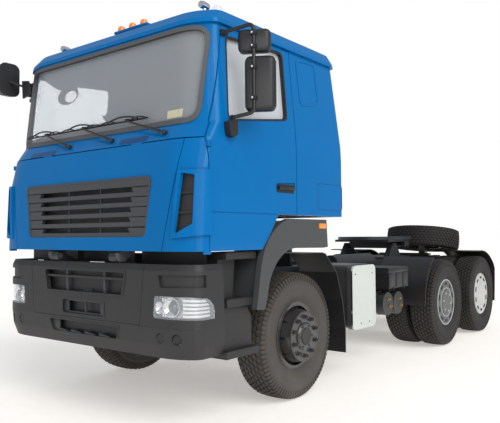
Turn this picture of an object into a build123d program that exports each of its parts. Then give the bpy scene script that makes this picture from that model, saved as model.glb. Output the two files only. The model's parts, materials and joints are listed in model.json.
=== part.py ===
"""Three-axle cab-over road tractor: chassis, running gear, fifth wheel and tilting cab.

Frame: +X is the vehicle's left (driver's) side, -Y is forward, +Z is up.
The origin is on the ground under the middle of the vehicle. Stations along
the vehicle are given from the front axle, heights from the ground.
"""
from build123d import *
from math import cos, hypot, radians, sin
import os

os.makedirs("parts", exist_ok=True)

# ---------------------------------------------------------------- driving sizes, mm
front_overhang = 1440        # bumper face to front axle
wheelbase = 3292             # front axle to first drive axle
bogie_spacing = 1390         # between the drive axles
rear_overhang = 606          # second drive axle to the end of the rear guards
length = front_overhang + wheelbase + bogie_spacing + rear_overhang
axle_y = front_overhang - length / 2

seam_gap = 8                 # panel gap round doors and the front panel
fit_gap = 0.6                # running clearance of shafts and pins
touch_gap = 0.3              # seated curved faces of neighbouring pieces

tyre_radius = 548
tyre_width = 300
tread_width = 262
bead_radius = 266
flange_radius = 296
rim_wall = 9
rim_half_width = 118
front_tyre_x = 988           # middle of each front tyre
rear_tyre_x = [1085, 740]    # middles of the outer and inner twin tyres
kingpin_x = 840
axle_z = tyre_radius

rail_outer_x = 430
rail_height = 280
rail_flange = 80
rail_plate = 9
rail_top = 1085
rail_front_y = -1230
rail_rear_y = 5160
rail_bottom = rail_top - rail_height

cab_half_width = 1241
cab_wall = 60                # whole thickness of walls and doors
door_skin = 14
cab_bottom = 1310
skirt_top = 1588
belt_z = 2121                # seam under the windscreen
gutter_z = 2998
door_front_y = -1276
door_rear_y = -182
cab_rear_y = 622
lid_thickness = 34
wall_front_y = -1300         # front face of the cab's inner front wall
lid_hinge = (-1362.5, 2121)  # station and height of the front panel's hinge line

bumper_half_width = 1195
bumper_wall = 36
bumper_front = 1424
bumper_top = 1216
bumper_bottom = 545

plate_radius = 450           # fifth wheel
plate_top = 1388
trunnion_y = 3560
trunnion_z = 1262

cab_pivot = (-1400, 1262)    # y, z of the cab's tilt axis


# ---------------------------------------------------------------- working planes
def level(height):
    """Horizontal plane: sketch x is X, sketch y is the station from the front axle."""
    return Plane(origin=(0, axle_y, height), x_dir=(1, 0, 0), z_dir=(0, 0, 1))


def side(x):
    """Vertical lengthwise plane: sketch x is the station, sketch y is the height."""
    return Plane(origin=(x, axle_y, 0), x_dir=(0, 1, 0), z_dir=(1, 0, 0))


def face(station):
    """Vertical crosswise plane facing forward: sketch x is X, sketch y is the height."""
    return Plane(origin=(0, axle_y + station, 0), x_dir=(1, 0, 0), z_dir=(0, -1, 0))


def block(x_range, y_range, z_range):
    """Box between two X, two stations and two heights."""
    with BuildPart(mode=Mode.PRIVATE) as piece:
        with BuildSketch(level(z_range[0])):
            with Locations(((x_range[0] + x_range[1]) / 2, (y_range[0] + y_range[1]) / 2)):
                Rectangle(x_range[1] - x_range[0], y_range[1] - y_range[0])
        extrude(amount=z_range[1] - z_range[0])
    return piece.part


def side_prism(points, x_range, radius=0, grow=0):
    """Prism with a side outline given as (station, height), between two X."""
    with BuildPart(mode=Mode.PRIVATE) as piece:
        with BuildSketch(side(x_range[0])) as outline:
            with BuildLine():
                Polyline(*points, close=True)
            make_face()
            if radius:
                fillet(outline.vertices(), radius)
            if grow:
                offset(amount=grow, kind=Kind.INTERSECTION)
        extrude(amount=x_range[1] - x_range[0])
    return piece.part


def face_prism(points, y_range, radius=0, grow=0):
    """Prism with a front outline given as (x, height), between two stations."""
    with BuildPart(mode=Mode.PRIVATE) as piece:
        with BuildSketch(face(y_range[1])) as outline:
            with BuildLine():
                Polyline(*points, close=True)
            make_face()
            if radius:
                fillet(outline.vertices(), radius)
            if grow:
                offset(amount=grow, kind=Kind.INTERSECTION)
        extrude(amount=y_range[1] - y_range[0])
    return piece.part


def bar(start, end, radius):
    """Round bar between two points given as (x, station, height)."""
    first = Vector(start[0], start[1] + axle_y, start[2])
    last = Vector(end[0], end[1] + axle_y, end[2])
    with BuildPart(mode=Mode.PRIVATE) as piece:
        with BuildSketch(Plane(origin=first, z_dir=last - first)):
            Circle(radius)
        extrude(amount=(last - first).length)
    return piece.part


def bent_tube(points, radius, bend):
    """Round tube along points (x, station, height), with every corner at one bend radius."""
    route = [(x, y + axle_y, z) for x, y, z in points]
    with BuildPart(mode=Mode.PRIVATE) as piece:
        with BuildLine() as path:
            FilletPolyline(*route, radius=bend)
        with BuildSketch(Plane(origin=path.line @ 0, z_dir=path.line % 0)):
            Circle(radius)
        sweep()
    return piece.part


def turned(points, x, station, height):
    """Solid turned about a crosswise axle: points are (distance from x, radius)."""
    with BuildPart(mode=Mode.PRIVATE) as piece:
        with BuildSketch(face(station)):
            with BuildLine():
                Polyline(*[(x + across, height + r) for across, r in points], close=True)
            make_face()
        revolve(axis=Axis((x, axle_y + station, height), (1, 0, 0)))
    return piece.part


def flipped(piece):
    """Mirror image on the other side of the vehicle."""
    return piece.mirror(Plane.YZ)


# ---------------------------------------------------------------- wheels
def tyre(x, station, height=axle_z):
    """Plain tyre out to its lug tips, bead faces beside the rim flanges."""
    shoulder = tread_width / 2
    bead = rim_half_width - rim_wall - touch_gap
    with BuildPart(mode=Mode.PRIVATE) as piece:
        with BuildSketch(face(station)):
            with BuildLine():
                Line((x - bead, height + bead_radius), (x + bead, height + bead_radius))
                Line((x + bead, height + bead_radius), (x + bead, height + flange_radius))
                ThreePointArc((x + bead, height + flange_radius),
                              (x + tyre_width / 2, height + 410), (x + shoulder, height + 534))
                ThreePointArc((x + shoulder, height + 534), (x, height + tyre_radius),
                              (x - shoulder, height + 534))
                ThreePointArc((x - shoulder, height + 534),
                              (x - tyre_width / 2, height + 410), (x - bead, height + flange_radius))
                Line((x - bead, height + flange_radius), (x - bead, height + bead_radius))
            make_face()
        revolve(axis=Axis((x, axle_y + station, height), (1, 0, 0)))
    return piece.part


def rim_barrel(x, station, height=axle_z):
    """Rim wall with its two flanges."""
    outer = bead_radius - touch_gap
    inner = outer - rim_wall
    ledge = rim_half_width - rim_wall
    top = flange_radius - touch_gap
    profile = [(-rim_half_width, inner), (rim_half_width, inner), (rim_half_width, top),
               (ledge, top), (ledge, outer), (-ledge, outer), (-ledge, top), (-rim_half_width, top)]
    return turned(profile, x, station, height)


hub_bore = 45 + fit_gap
hub_inner_x = 944            # inboard face of a front hub
spindle_tip_x = 1062

front_disc = {               # front wheel disc, bulging outwards, X from the tyre's middle
    "base": 30, "face": 200, "face_radius": 214, "hand_holes": 10, "hole_radius": 14,
    "hole_ring": 238, "hub_radius": 105, "cap_radius": 118, "cap_face": 218,
}


def front_rim():
    """Left front rim, disc, hub and cap in one piece."""
    wall = bead_radius - touch_gap - rim_wall / 2
    base, face_x, face_radius = front_disc["base"], front_disc["face"], front_disc["face_radius"]
    hub_end = front_tyre_x + face_x - 8
    with BuildPart(mode=Mode.PRIVATE) as piece:
        add(rim_barrel(front_tyre_x, 0))
        add(turned([(base, wall), (base, 240), (face_x - 14, face_radius - 14), (face_x - 14, 0),
                    (face_x, 0), (face_x, face_radius - 8), (face_x - 8, face_radius),
                    (base + 22, 252), (base + 22, wall)], front_tyre_x, 0, axle_z))
        add(turned([(hub_inner_x, 0), (hub_end, 0), (hub_end, front_disc["hub_radius"]),
                    (hub_inner_x, front_disc["hub_radius"])], 0, 0, axle_z))
        add(turned([(face_x - 6, 0), (front_disc["cap_face"], 0), (front_disc["cap_face"], 104),
                    (front_disc["cap_face"] - 10, front_disc["cap_radius"]),
                    (face_x - 6, front_disc["cap_radius"])], front_tyre_x, 0, axle_z))
        with BuildSketch(side(front_tyre_x + base - 10)):
            with Locations((0, axle_z)):
                with PolarLocations(front_disc["hole_ring"], front_disc["hand_holes"]):
                    Circle(front_disc["hole_radius"])
        extrude(amount=130, mode=Mode.SUBTRACT)
        with BuildSketch(side(hub_inner_x)):
            with Locations((0, axle_z)):
                Circle(hub_bore)
        extrude(amount=spindle_tip_x + 3 - hub_inner_x, mode=Mode.SUBTRACT)
    return piece.part


rear_hub_inner_x = 640
rear_spindle_tip_x = 960
cover_radius = 287
cover_face = 124             # from the outer tyre's middle
cover_slots = 10


def rear_rims(station):
    """Left twin rims joined by their drum, with the slotted wheel cover."""
    outer_x, inner_x = rear_tyre_x
    wall = bead_radius - touch_gap - rim_wall / 2
    with BuildPart(mode=Mode.PRIVATE) as piece:
        add(rim_barrel(outer_x, station))
        add(rim_barrel(inner_x, station))
        add(turned([(-12, 0), (12, 0), (12, wall), (-12, wall)], outer_x - 66, station, axle_z))
        add(turned([(-12, 0), (12, 0), (12, wall), (-12, wall)], inner_x + 66, station, axle_z))
        add(turned([(rear_hub_inner_x, 0), (outer_x + 70, 0), (outer_x + 70, 120),
                    (rear_hub_inner_x, 150)], 0, station, axle_z))
        add(turned([(cover_face - 24, 0), (cover_face + 12, 0), (cover_face + 12, 150),
                    (cover_face, 178), (cover_face, 268), (rim_half_width + 1, cover_radius),
                    (rim_half_width, cover_radius), (rim_half_width, wall),
                    (cover_face - 24, wall)], outer_x, station, axle_z))
        with BuildSketch(side(outer_x + cover_face - 9)):
            with Locations((station, axle_z)):
                with PolarLocations(232, cover_slots, start_angle=18):
                    SlotOverall(74, 32, rotation=90)
        extrude(amount=30, mode=Mode.SUBTRACT)
        with BuildSketch(side(rear_hub_inner_x)):
            with Locations((station, axle_z)):
                Circle(hub_bore)
        extrude(amount=rear_spindle_tip_x + 3 - rear_hub_inner_x, mode=Mode.SUBTRACT)
    return piece.part


with BuildPart() as front_tyre_left:
    add(tyre(front_tyre_x, 0))
with BuildPart() as front_tyre_right:
    add(flipped(front_tyre_left.part))
with BuildPart() as front_rim_left:
    add(front_rim())
with BuildPart() as front_rim_right:
    add(flipped(front_rim_left.part))

finished = [
    (front_tyre_left, "front_tyre_left"), (front_tyre_right, "front_tyre_right"),
    (front_rim_left, "front_rim_left"), (front_rim_right, "front_rim_right"),
]

drive_axles = [("first", wheelbase), ("second", wheelbase + bogie_spacing)]
for axle_name, station in drive_axles:
    with BuildPart() as twin_tyres:
        for x in rear_tyre_x:
            add(tyre(x, station))
    with BuildPart() as twin_tyres_right:
        add(flipped(twin_tyres.part))
    with BuildPart() as twin_rims:
        add(rear_rims(station))
    with BuildPart() as twin_rims_right:
        add(flipped(twin_rims.part))
    finished.append((twin_tyres, f"{axle_name}_tyres_left"))
    finished.append((twin_tyres_right, f"{axle_name}_tyres_right"))
    finished.append((twin_rims, f"{axle_name}_rims_left"))
    finished.append((twin_rims_right, f"{axle_name}_rims_right"))

# ---------------------------------------------------------------- front axle and knuckles
pin_radius = 24
eye_radius = 50
eye_bottom, eye_top = 478, 618
arm_gap = 6                  # over and under the axle eye
arm_thickness = 32
yoke_x = (kingpin_x + eye_radius + arm_gap, 930)
spring_x = (350, 440)

with BuildPart() as front_axle:
    add(face_prism([(-820, 504), (-560, 440), (560, 440), (820, 504), (820, 602), (560, 536),
                    (-560, 536), (-820, 602)], (-46, 46)))
    for way in (1, -1):
        with BuildSketch(level(eye_bottom)):
            with Locations((way * kingpin_x, 0)):
                Circle(eye_radius)
        extrude(amount=eye_top - eye_bottom)
        with BuildSketch(level(eye_bottom)):
            with Locations((way * kingpin_x, 0)):
                Circle(pin_radius + fit_gap)
        extrude(amount=eye_top - eye_bottom, mode=Mode.SUBTRACT)
    for low, high in ((-spring_x[1], -spring_x[0]), spring_x):
        add(side_prism([(-860, 705), (-430, 612), (-90, 536), (90, 536), (430, 612), (860, 705),
                        (860, 725), (430, 660), (110, 632), (-110, 632), (-430, 660),
                        (-860, 725)], (low, high)))
        for y in (-830, 770):
            add(block((low, high), (y, y + 60), (712, rail_bottom)))

with BuildPart() as knuckle_left:
    with BuildSketch(level(eye_bottom - arm_gap - arm_thickness)):
        with Locations((kingpin_x, 0)):
            Circle(pin_radius)
    extrude(amount=eye_top - eye_bottom + 2 * (arm_gap + arm_thickness))
    for z in (eye_bottom - arm_gap - arm_thickness, eye_top + arm_gap):
        add(block((kingpin_x - 44, yoke_x[1]), (-55, 55), (z, z + arm_thickness)))
    add(block(yoke_x, (-55, 55), (eye_bottom - arm_gap - arm_thickness,
                                  eye_top + arm_gap + arm_thickness)))
    add(turned([(926, 0), (936, 0), (936, 205), (926, 205)], 0, 0, axle_z))
    add(turned([(930, 0), (spindle_tip_x, 0), (spindle_tip_x, hub_bore - fit_gap),
                (930, hub_bore - fit_gap)], 0, 0, axle_z))
    add(block((kingpin_x - 30, kingpin_x + 10), (50, 210), (eye_bottom - arm_gap - arm_thickness,
                                                           eye_bottom - arm_gap)))
with BuildPart() as knuckle_right:
    add(flipped(knuckle_left.part))

finished += [(front_axle, "front_axle"), (knuckle_left, "knuckle_left"),
             (knuckle_right, "knuckle_right")]

# ---------------------------------------------------------------- frame
with BuildPart() as frame_rails:
    for way in (1, -1):
        web = way * rail_outer_x
        lip = way * (rail_outer_x - rail_flange)
        back = way * (rail_outer_x - rail_plate)
        outline = [(web, rail_bottom), (web, rail_top), (lip, rail_top), (lip, rail_top - rail_plate),
                   (back, rail_top - rail_plate), (back, rail_bottom + rail_plate),
                   (lip, rail_bottom + rail_plate), (lip, rail_bottom)]
        add(face_prism(outline, (rail_front_y, rail_rear_y)))
finished.append((frame_rails, "frame_rails"))

crossmember_reach = rail_outer_x - rail_plate
crossmembers = [             # first station, last station, bottom, top
    (-1230, -1170, 830, 1060),
    (-1000, -940, 815, 900),
    (1560, 1620, 830, 1060),
    (2480, 2540, 830, 1060),
    (3950, 4010, 830, 1060),
    (5100, 5160, 820, 1070),
]
bracket_x = (330, 410)       # cab hinge brackets, either side
tilt_pin = 20
tow_pin_y = -1312
tow_pin_bore = 25
with BuildPart() as frame_crossmembers:
    for y_first, y_last, low, high in crossmembers:
        add(block((-crossmember_reach, crossmember_reach), (y_first, y_last), (low, high)))
    add(block((-60, 60), (-1376, -1230), (900, 1000)))
    with BuildSketch(level(900)):
        with Locations((0, tow_pin_y)):
            Circle(tow_pin_bore)
    extrude(amount=100, mode=Mode.SUBTRACT)
    for way in (1, -1):
        low, high = sorted((way * bracket_x[0], way * bracket_x[1]))
        add(side_prism([(-1228, rail_top), (-1080, rail_top), (-1180, 1190),
                        (cab_pivot[0] + 20, cab_pivot[1] + 30), (cab_pivot[0] - 20, cab_pivot[1] + 30),
                        (cab_pivot[0] - 32, cab_pivot[1]), (cab_pivot[0] - 20, cab_pivot[1] - 32),
                        (cab_pivot[0] + 22, cab_pivot[1] - 36), (-1290, 1180)], (low, high)))
        with BuildSketch(side(low)):
            with Locations(cab_pivot):
                Circle(tilt_pin + fit_gap)
        extrude(amount=high - low, mode=Mode.SUBTRACT)
finished.append((frame_crossmembers, "frame_crossmembers"))

# ---------------------------------------------------------------- engine, driveline, rear bogie
with BuildPart() as engine_block:
    add(block((-330, 330), (-640, 480), (640, 1240)))
    add(block((-210, 210), (480, 1420), (560, 1000)))
    add(block((-330, 330), (-940, -760), (700, 1270)))
    for y in (-420, 300):
        add(block((-crossmember_reach, crossmember_reach), (y, y + 90), (840, 900)))

shaft_z = 600
axle_tube = 78
with BuildPart() as rear_bogie:
    for station in (wheelbase, wheelbase + bogie_spacing):
        add(turned([(-rear_spindle_tip_x, 0), (rear_spindle_tip_x, 0),
                    (rear_spindle_tip_x, hub_bore - fit_gap), (610, hub_bore - fit_gap),
                    (610, axle_tube), (330, axle_tube), (190, 205), (-190, 205),
                    (-330, axle_tube), (-610, axle_tube),
                    (-610, hub_bore - fit_gap), (-rear_spindle_tip_x, hub_bore - fit_gap)],
                   0, station, axle_z))
        for side_sign in (1, -1):
            low, high = sorted((side_sign * 602, side_sign * 612))
            add(turned([(low, 0), (high, 0), (high, 200), (low, 200)], 0, station, axle_z))
        add(bar((0, station - 330, shaft_z), (0, station, shaft_z), 95))
    add(bar((0, 1420, shaft_z), (0, wheelbase - 300, shaft_z), 50))
    add(bar((0, wheelbase, shaft_z), (0, wheelbase + bogie_spacing - 300, shaft_z), 50))

bogie_mid = wheelbase + bogie_spacing / 2
with BuildPart() as bogie_springs:
    for low, high in ((-spring_x[1], -spring_x[0]), spring_x):
        reach = bogie_spacing / 2
        seat = axle_z + axle_tube + touch_gap
        add(side_prism([(bogie_mid - reach - 90, seat), (bogie_mid - reach + 90, seat),
                        (bogie_mid - 160, seat + 14), (bogie_mid + 160, seat + 14),
                        (bogie_mid + reach - 90, seat), (bogie_mid + reach + 90, seat),
                        (bogie_mid + reach + 90, 658), (bogie_mid + 130, 745),
                        (bogie_mid - 130, 745), (bogie_mid - reach - 90, 658)], (low, high)))
        add(block((low, high), (bogie_mid - 110, bogie_mid + 110), (560, rail_bottom)))
    add(bar((-spring_x[1], bogie_mid, 692), (spring_x[1], bogie_mid, 692), 34))
finished += [(engine_block, "engine_block"),
             (rear_bogie, "rear_bogie"), (bogie_springs, "bogie_springs")]

# ---------------------------------------------------------------- fifth wheel
throat_half = 26             # slot for the trailer's kingpin
with BuildPart() as fifth_wheel_plate:
    with BuildSketch(level(plate_top - 42)):
        with Locations((0, trunnion_y)):
            Circle(plate_radius)
        with Locations((0, trunnion_y + 205)):
            Rectangle(2 * plate_radius, 410)
    extrude(amount=42)
    with BuildSketch(level(plate_top - 130)):
        with Locations((0, trunnion_y + 340)):
            Rectangle(2 * plate_radius - 60, 140)
    extrude(amount=100)
    add(block((-plate_radius + 30, plate_radius - 30), (trunnion_y - 260, trunnion_y + 290),
              (plate_top - 72, plate_top - 40)))
    add(block((-306, 306), (trunnion_y - 45, trunnion_y + 45), (trunnion_z - 38, plate_top - 60)))
    with BuildSketch(level(plate_top - 200)):
        with BuildLine():
            Polyline((-170, trunnion_y + 420), (-throat_half, trunnion_y + 110),
                     (-throat_half, trunnion_y), (throat_half, trunnion_y),
                     (throat_half, trunnion_y + 110), (170, trunnion_y + 420), close=True)
        make_face()
        with Locations((0, trunnion_y)):
            Circle(throat_half)
    extrude(amount=240, mode=Mode.SUBTRACT)
    add(block((-200, 200), (trunnion_y + 410, trunnion_y + 460), (plate_top - 60, plate_top + 10)),
        mode=Mode.SUBTRACT)
    add(bar((-395, trunnion_y, trunnion_z), (-150, trunnion_y, trunnion_z), 30))
    add(bar((150, trunnion_y, trunnion_z), (395, trunnion_y, trunnion_z), 30))

base_top = rail_top + 24
with BuildPart() as fifth_wheel_mount:
    add(block((-rail_outer_x, rail_outer_x), (trunnion_y - 420, trunnion_y + 420),
              (rail_top, base_top)))
    for way in (1, -1):
        low, high = sorted((way * 312, way * 388))
        add(side_prism([(trunnion_y - 200, base_top), (trunnion_y + 200, base_top),
                        (trunnion_y + 46, trunnion_z + 36), (trunnion_y - 46, trunnion_z + 36)],
                       (low, high)))
    with BuildSketch(side(-420)):
        with Locations((trunnion_y, trunnion_z)):
            Circle(30 + fit_gap)
    extrude(amount=840, mode=Mode.SUBTRACT)
finished += [(fifth_wheel_plate, "fifth_wheel_plate"), (fifth_wheel_mount, "fifth_wheel_mount")]

# ---------------------------------------------------------------- cab shell
# Plan of the cab at a few heights, joined by ruled walls. Each front corner is a wide bend
# of the first front radius, followed by a tight turn into the side.
corner_sweep = radians(35)   # share of the quarter turn that the wide bend takes
# columns: height, half width, front station, rear station, wide bend, tight turn, rear radius
cab_sections = [
    (cab_bottom, cab_half_width, -front_overhang, cab_rear_y, 500, 70, 60),
    (1900, cab_half_width, -1416, cab_rear_y, 500, 70, 60),
    (belt_z, cab_half_width, -1366, cab_rear_y, 500, 70, 60),
    (2250, cab_half_width - 6, -1280, cab_rear_y - 2, 500, 70, 60),
    (gutter_z, 1166, -1226, cab_rear_y - 50, 500, 70, 75),
]
# columns as above: the roof cap from the gutter lip upwards
roof_sections = [
    (gutter_z, 1190, -1240, cab_rear_y - 28, 500, 70, 85),
    (gutter_z + 34, 1184, -1234, cab_rear_y - 32, 490, 72, 85),
    (gutter_z + 112, 1150, -1172, cab_rear_y - 70, 460, 80, 85),
    (gutter_z + 160, 1070, -1050, cab_rear_y - 150, 420, 90, 80),
    (gutter_z + 190, 880, -860, cab_rear_y - 330, 380, 90, 80),
]


def corner_points(half_width, front_y, wide_bend, tight_turn):
    """Start, middle and end of a front corner's two arcs, on the left side."""
    wide_x = half_width - tight_turn - (wide_bend - tight_turn) * sin(corner_sweep)
    wide_y = front_y + wide_bend
    tight_x = half_width - tight_turn
    tight_y = wide_y - (wide_bend - tight_turn) * cos(corner_sweep)
    half = corner_sweep / 2
    last = (corner_sweep + radians(90)) / 2
    return [(wide_x, front_y),
            (wide_x + wide_bend * sin(half), wide_y - wide_bend * cos(half)),
            (wide_x + wide_bend * sin(corner_sweep), wide_y - wide_bend * cos(corner_sweep)),
            (tight_x + tight_turn * sin(last), tight_y - tight_turn * cos(last)),
            (half_width, tight_y)]


def plan_outline(half_width, front_y, rear_y, wide_bend, tight_turn, rear_radius):
    """Rounded plan outline, as edges for the sketch that is open."""
    left = corner_points(half_width, front_y, wide_bend, tight_turn)
    right = [(-x, y) for x, y in left]
    rear_x = half_width - rear_radius
    rear_in = rear_y - rear_radius
    turn = 1 - cos(radians(45))
    Line(right[0], left[0])
    ThreePointArc(*left[:3])
    ThreePointArc(*left[2:])
    Line(left[4], (half_width, rear_in))
    ThreePointArc((half_width, rear_in), (half_width - rear_radius * turn, rear_y - rear_radius * turn),
                  (rear_x, rear_y))
    Line((rear_x, rear_y), (-rear_x, rear_y))
    ThreePointArc((-rear_x, rear_y), (rear_radius * turn - half_width, rear_y - rear_radius * turn),
                  (-half_width, rear_in))
    Line((-half_width, rear_in), right[4])
    ThreePointArc(right[4], right[3], right[2])
    ThreePointArc(right[2], right[1], right[0])


def walls(sections, inset=0):
    """Solid inside ruled walls, drawn in by an inset."""
    with BuildPart(mode=Mode.PRIVATE) as piece:
        for lower, upper in zip(sections, sections[1:]):
            for height, half_width, front_y, rear_y, wide_bend, tight_turn, rear_radius in (lower, upper):
                with BuildSketch(level(height)):
                    with BuildLine():
                        plan_outline(half_width - inset, front_y + inset, rear_y - inset,
                                     wide_bend - inset, max(tight_turn - inset, 8),
                                     max(rear_radius - inset, 12))
                    make_face()
            loft(ruled=True)
    return piece.part


def cab_layer(outer_inset, inner_inset):
    """Part of the cab wall's thickness, as a tube open at top and bottom."""
    return walls(cab_sections, outer_inset) - walls(cab_sections, inner_inset)


cab_shell = cab_layer(0, cab_wall)
cab_skin = cab_layer(0, door_skin)
door_frame_layer = cab_layer(door_skin, cab_wall)
lid_layer = cab_layer(0, lid_thickness)

wide = 1400                  # half width of cutting shapes, past everything


def common(layer, cutter):
    """What a layer and a cutting shape share."""
    with BuildPart(mode=Mode.PRIVATE) as piece:
        add(layer)
        add(cutter, mode=Mode.INTERSECT)
    return piece.part


# ---------------------------------------------------------------- doors
# outlines of the left door as (station, height), front top corner first
door_top = (-1062, gutter_z - 6)
pillar_foot = (-1208, 2236)              # the front shut line bends here
hinge_x, hinge_y = 1233, -1266           # upright axis inside the door's front edge
hinge_pin = 5
lug_radius = 8
upper_lug = (2052, 2092)                 # heights of the upper hinge's lug
lower_lug = (1290, cab_bottom - touch_gap)
arch_side = [(-440, skirt_top), (-480, 1540), (-560, 1428), (-664, cab_bottom)]
door_outline = [door_top, (door_rear_y, gutter_z - 6), (door_rear_y, skirt_top)] + arch_side \
    + [(door_front_y, cab_bottom), (door_front_y, belt_z), pillar_foot]
rebate = 15                  # the door's inner part stops short behind its shut line
door_inner_outline = [(door_top[0] + 14, gutter_z - 20), (door_rear_y - rebate, gutter_z - 20),
                      (door_rear_y - rebate, skirt_top)] + arch_side \
    + [(door_front_y + 10, cab_bottom), (door_front_y + 10, belt_z),
       (pillar_foot[0] + 11, pillar_foot[1])]
window_outline = [(-1060, 2272), (-300, 2382), (-292, 2948), (-1012, 2910)]
window_radius = 46
glass_layer = cab_layer(26, 32)

with BuildPart() as door_left:
    add(common(cab_skin, side_prism(door_outline, (900, wide))))
    add(common(door_frame_layer, side_prism(door_inner_outline, (900, wide))))
    add(side_prism(window_outline, (900, wide), window_radius), mode=Mode.SUBTRACT)
    add(side_prism([(-470, 1770), (-205, 1790), (-205, 1858), (-470, 1838)],
                   (cab_half_width - 12, wide), 12), mode=Mode.SUBTRACT)
    add(side_prism([(-440, 1788), (-232, 1800), (-232, 1820), (-440, 1808)],
                   (cab_half_width - 14, cab_half_width + 16), 6))
    add(side_prism([(door_front_y - 9, skirt_top - 4), (0, skirt_top - 4), (0, skirt_top + 4),
                    (door_front_y - 9, skirt_top + 4)], (cab_half_width - 5, wide)),
        mode=Mode.SUBTRACT)
    with BuildSketch(level(upper_lug[0] - 5)):
        with Locations((hinge_x, hinge_y)):
            Circle(lug_radius + 5)
        with Locations((hinge_x + 15, hinge_y - 15)):
            Rectangle(56, 30)
    extrude(amount=upper_lug[1] - upper_lug[0] + 10, mode=Mode.SUBTRACT)
    for low_z, high_z in ((cab_bottom, cab_bottom + 62), (upper_lug[0] - 40, upper_lug[1] + 5)):
        with BuildSketch(level(low_z)):
            with Locations((hinge_x, hinge_y)):
                Circle(hinge_pin + fit_gap)
        extrude(amount=high_z - low_z, mode=Mode.SUBTRACT)
with BuildPart() as door_right:
    add(flipped(door_left.part))
with BuildPart() as door_glass_left:
    add(common(glass_layer, side_prism(window_outline, (900, wide), window_radius,
                                       grow=-touch_gap)))
with BuildPart() as door_glass_right:
    add(flipped(door_glass_left.part))
finished += [(door_left, "door_left"), (door_right, "door_right"),
             (door_glass_left, "door_glass_left"), (door_glass_right, "door_glass_right")]

# ---------------------------------------------------------------- cab sides, back, front, roof
back_half = 1070
with BuildPart() as cab_sides:
    for way in (1, -1):
        with BuildPart(mode=Mode.PRIVATE) as one_side:
            add(cab_shell)
            low, high = sorted((way * 600, way * wide))
            add(side_prism([(door_rear_y + seam_gap, skirt_top), (cab_rear_y + 100, skirt_top),
                            (cab_rear_y + 100, gutter_z), (door_rear_y + seam_gap, gutter_z)],
                           (low, high)), mode=Mode.INTERSECT)
            add(block((-back_half, back_half), (300, 900), (skirt_top, gutter_z)),
                mode=Mode.SUBTRACT)
        add(one_side.part)
with BuildPart() as cab_back:
    add(common(cab_shell, block((-back_half, back_half), (300, 900), (skirt_top, gutter_z))))

screen_outline = [(-1096, 2273), (1096, 2273), (1130, 2958), (-1130, 2958)]
screen_radius = 95
with BuildPart() as cab_front:
    add(common(cab_shell, side_prism([(-1700, belt_z + 4), (door_front_y - seam_gap, belt_z + 4),
                                      (pillar_foot[0] - seam_gap, pillar_foot[1]),
                                      (door_top[0] - seam_gap, gutter_z - 6),
                                      (door_top[0] - seam_gap, gutter_z), (-1700, gutter_z)],
                                     (-wide, wide))))
    add(face_prism(screen_outline, (-1700, -900), screen_radius), mode=Mode.SUBTRACT)
    for x in (-600, 560):
        for barrel_x in (x - 41, x + 41):
            add(block((barrel_x, barrel_x + 40), (lid_hinge[0] - 3.6, lid_hinge[0] + 3.6),
                      (lid_hinge[1], 2132)))
            add(bar((barrel_x, *lid_hinge), (barrel_x + 40, *lid_hinge), 3.6))
        add(bar((x - 30, *lid_hinge), (x + 70, *lid_hinge), 2))
with BuildPart() as windscreen:
    add(common(glass_layer, face_prism(screen_outline, (-1700, -900), screen_radius,
                                       grow=-touch_gap)))

roof_inner = [(height - 30 * (index > 0), *rest)
              for index, (height, *rest) in enumerate(roof_sections)]
with BuildPart() as cab_roof:
    add(walls(roof_sections))
    add(walls(roof_inner, 40), mode=Mode.SUBTRACT)
finished += [(cab_sides, "cab_sides"), (cab_back, "cab_back"), (cab_front, "cab_front"),
             (windscreen, "windscreen"), (cab_roof, "cab_roof")]

# ---------------------------------------------------------------- front panel and corners
lid_top = belt_z - 4
lid_outline = [(-1062, lid_top), (1062, lid_top), (1040, 1900), (921, cab_bottom),
               (-921, cab_bottom), (-1040, 1900)]
grille_outline = [(-805, 1862), (805, 1862), (747, 1414), (-747, 1414)]
grille_radius = 42
slat_rows = 6
with BuildPart() as front_panel:
    add(common(lid_layer, face_prism(lid_outline, (-1700, -1150))))
    add(face_prism(grille_outline, (-1700, -1150), grille_radius), mode=Mode.SUBTRACT)
    for x in (-600, 560):
        add(block((x, x + 40), (lid_hinge[0] - 3.6, lid_hinge[0] + 3.6), (2108, lid_hinge[1])))
        add(bar((x, *lid_hinge), (x + 40, *lid_hinge), 3.6))
        add(bar((x - 1, *lid_hinge), (x + 41, *lid_hinge), 2 + touch_gap), mode=Mode.SUBTRACT)

grille_face = -1428          # front of the slats
row_pitch = (1862 - 1414) / slat_rows
with BuildPart(mode=Mode.PRIVATE) as slats:
    for row in range(slat_rows):
        low = 1414 + row * row_pitch + (4 if row else 0)
        half = 747 + (805 - 747) * (low - 1414) / (1862 - 1414) - 8
        add(face_prism([(-half, low), (half, low), (half, low + 34), (-half, low + 34)],
                       (grille_face + 2, -1390)))
        if row < slat_rows - 1:
            for way in (1, -1):
                inner = half - 190
                add(face_prism([(way * half, low + 34), (way * (inner + 18), low + 34),
                                (way * inner, low + row_pitch - 6), (way * half, low + row_pitch - 6)],
                               (grille_face + 4, -1390)))
        else:
            add(face_prism([(-half, low + 34), (half, low + 34), (half, low + row_pitch - 6),
                            (-half, low + row_pitch - 6)], (grille_face + 2, -1390)))
    for x in (-205, 205):
        add(block((x - 5, x + 5), (-1410, -1392), (1425, 1850)))
    add(face_prism(grille_outline, (grille_face, -1384), grille_radius, grow=-touch_gap),
        mode=Mode.INTERSECT)
with BuildPart() as front_grille:
    frame = face_prism(grille_outline, (grille_face, -1384), grille_radius, grow=-touch_gap)
    hole = face_prism(grille_outline, (grille_face, -1384), grille_radius, grow=-16)
    add(frame)
    add(hole, mode=Mode.SUBTRACT)
    add(slats.part)

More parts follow.
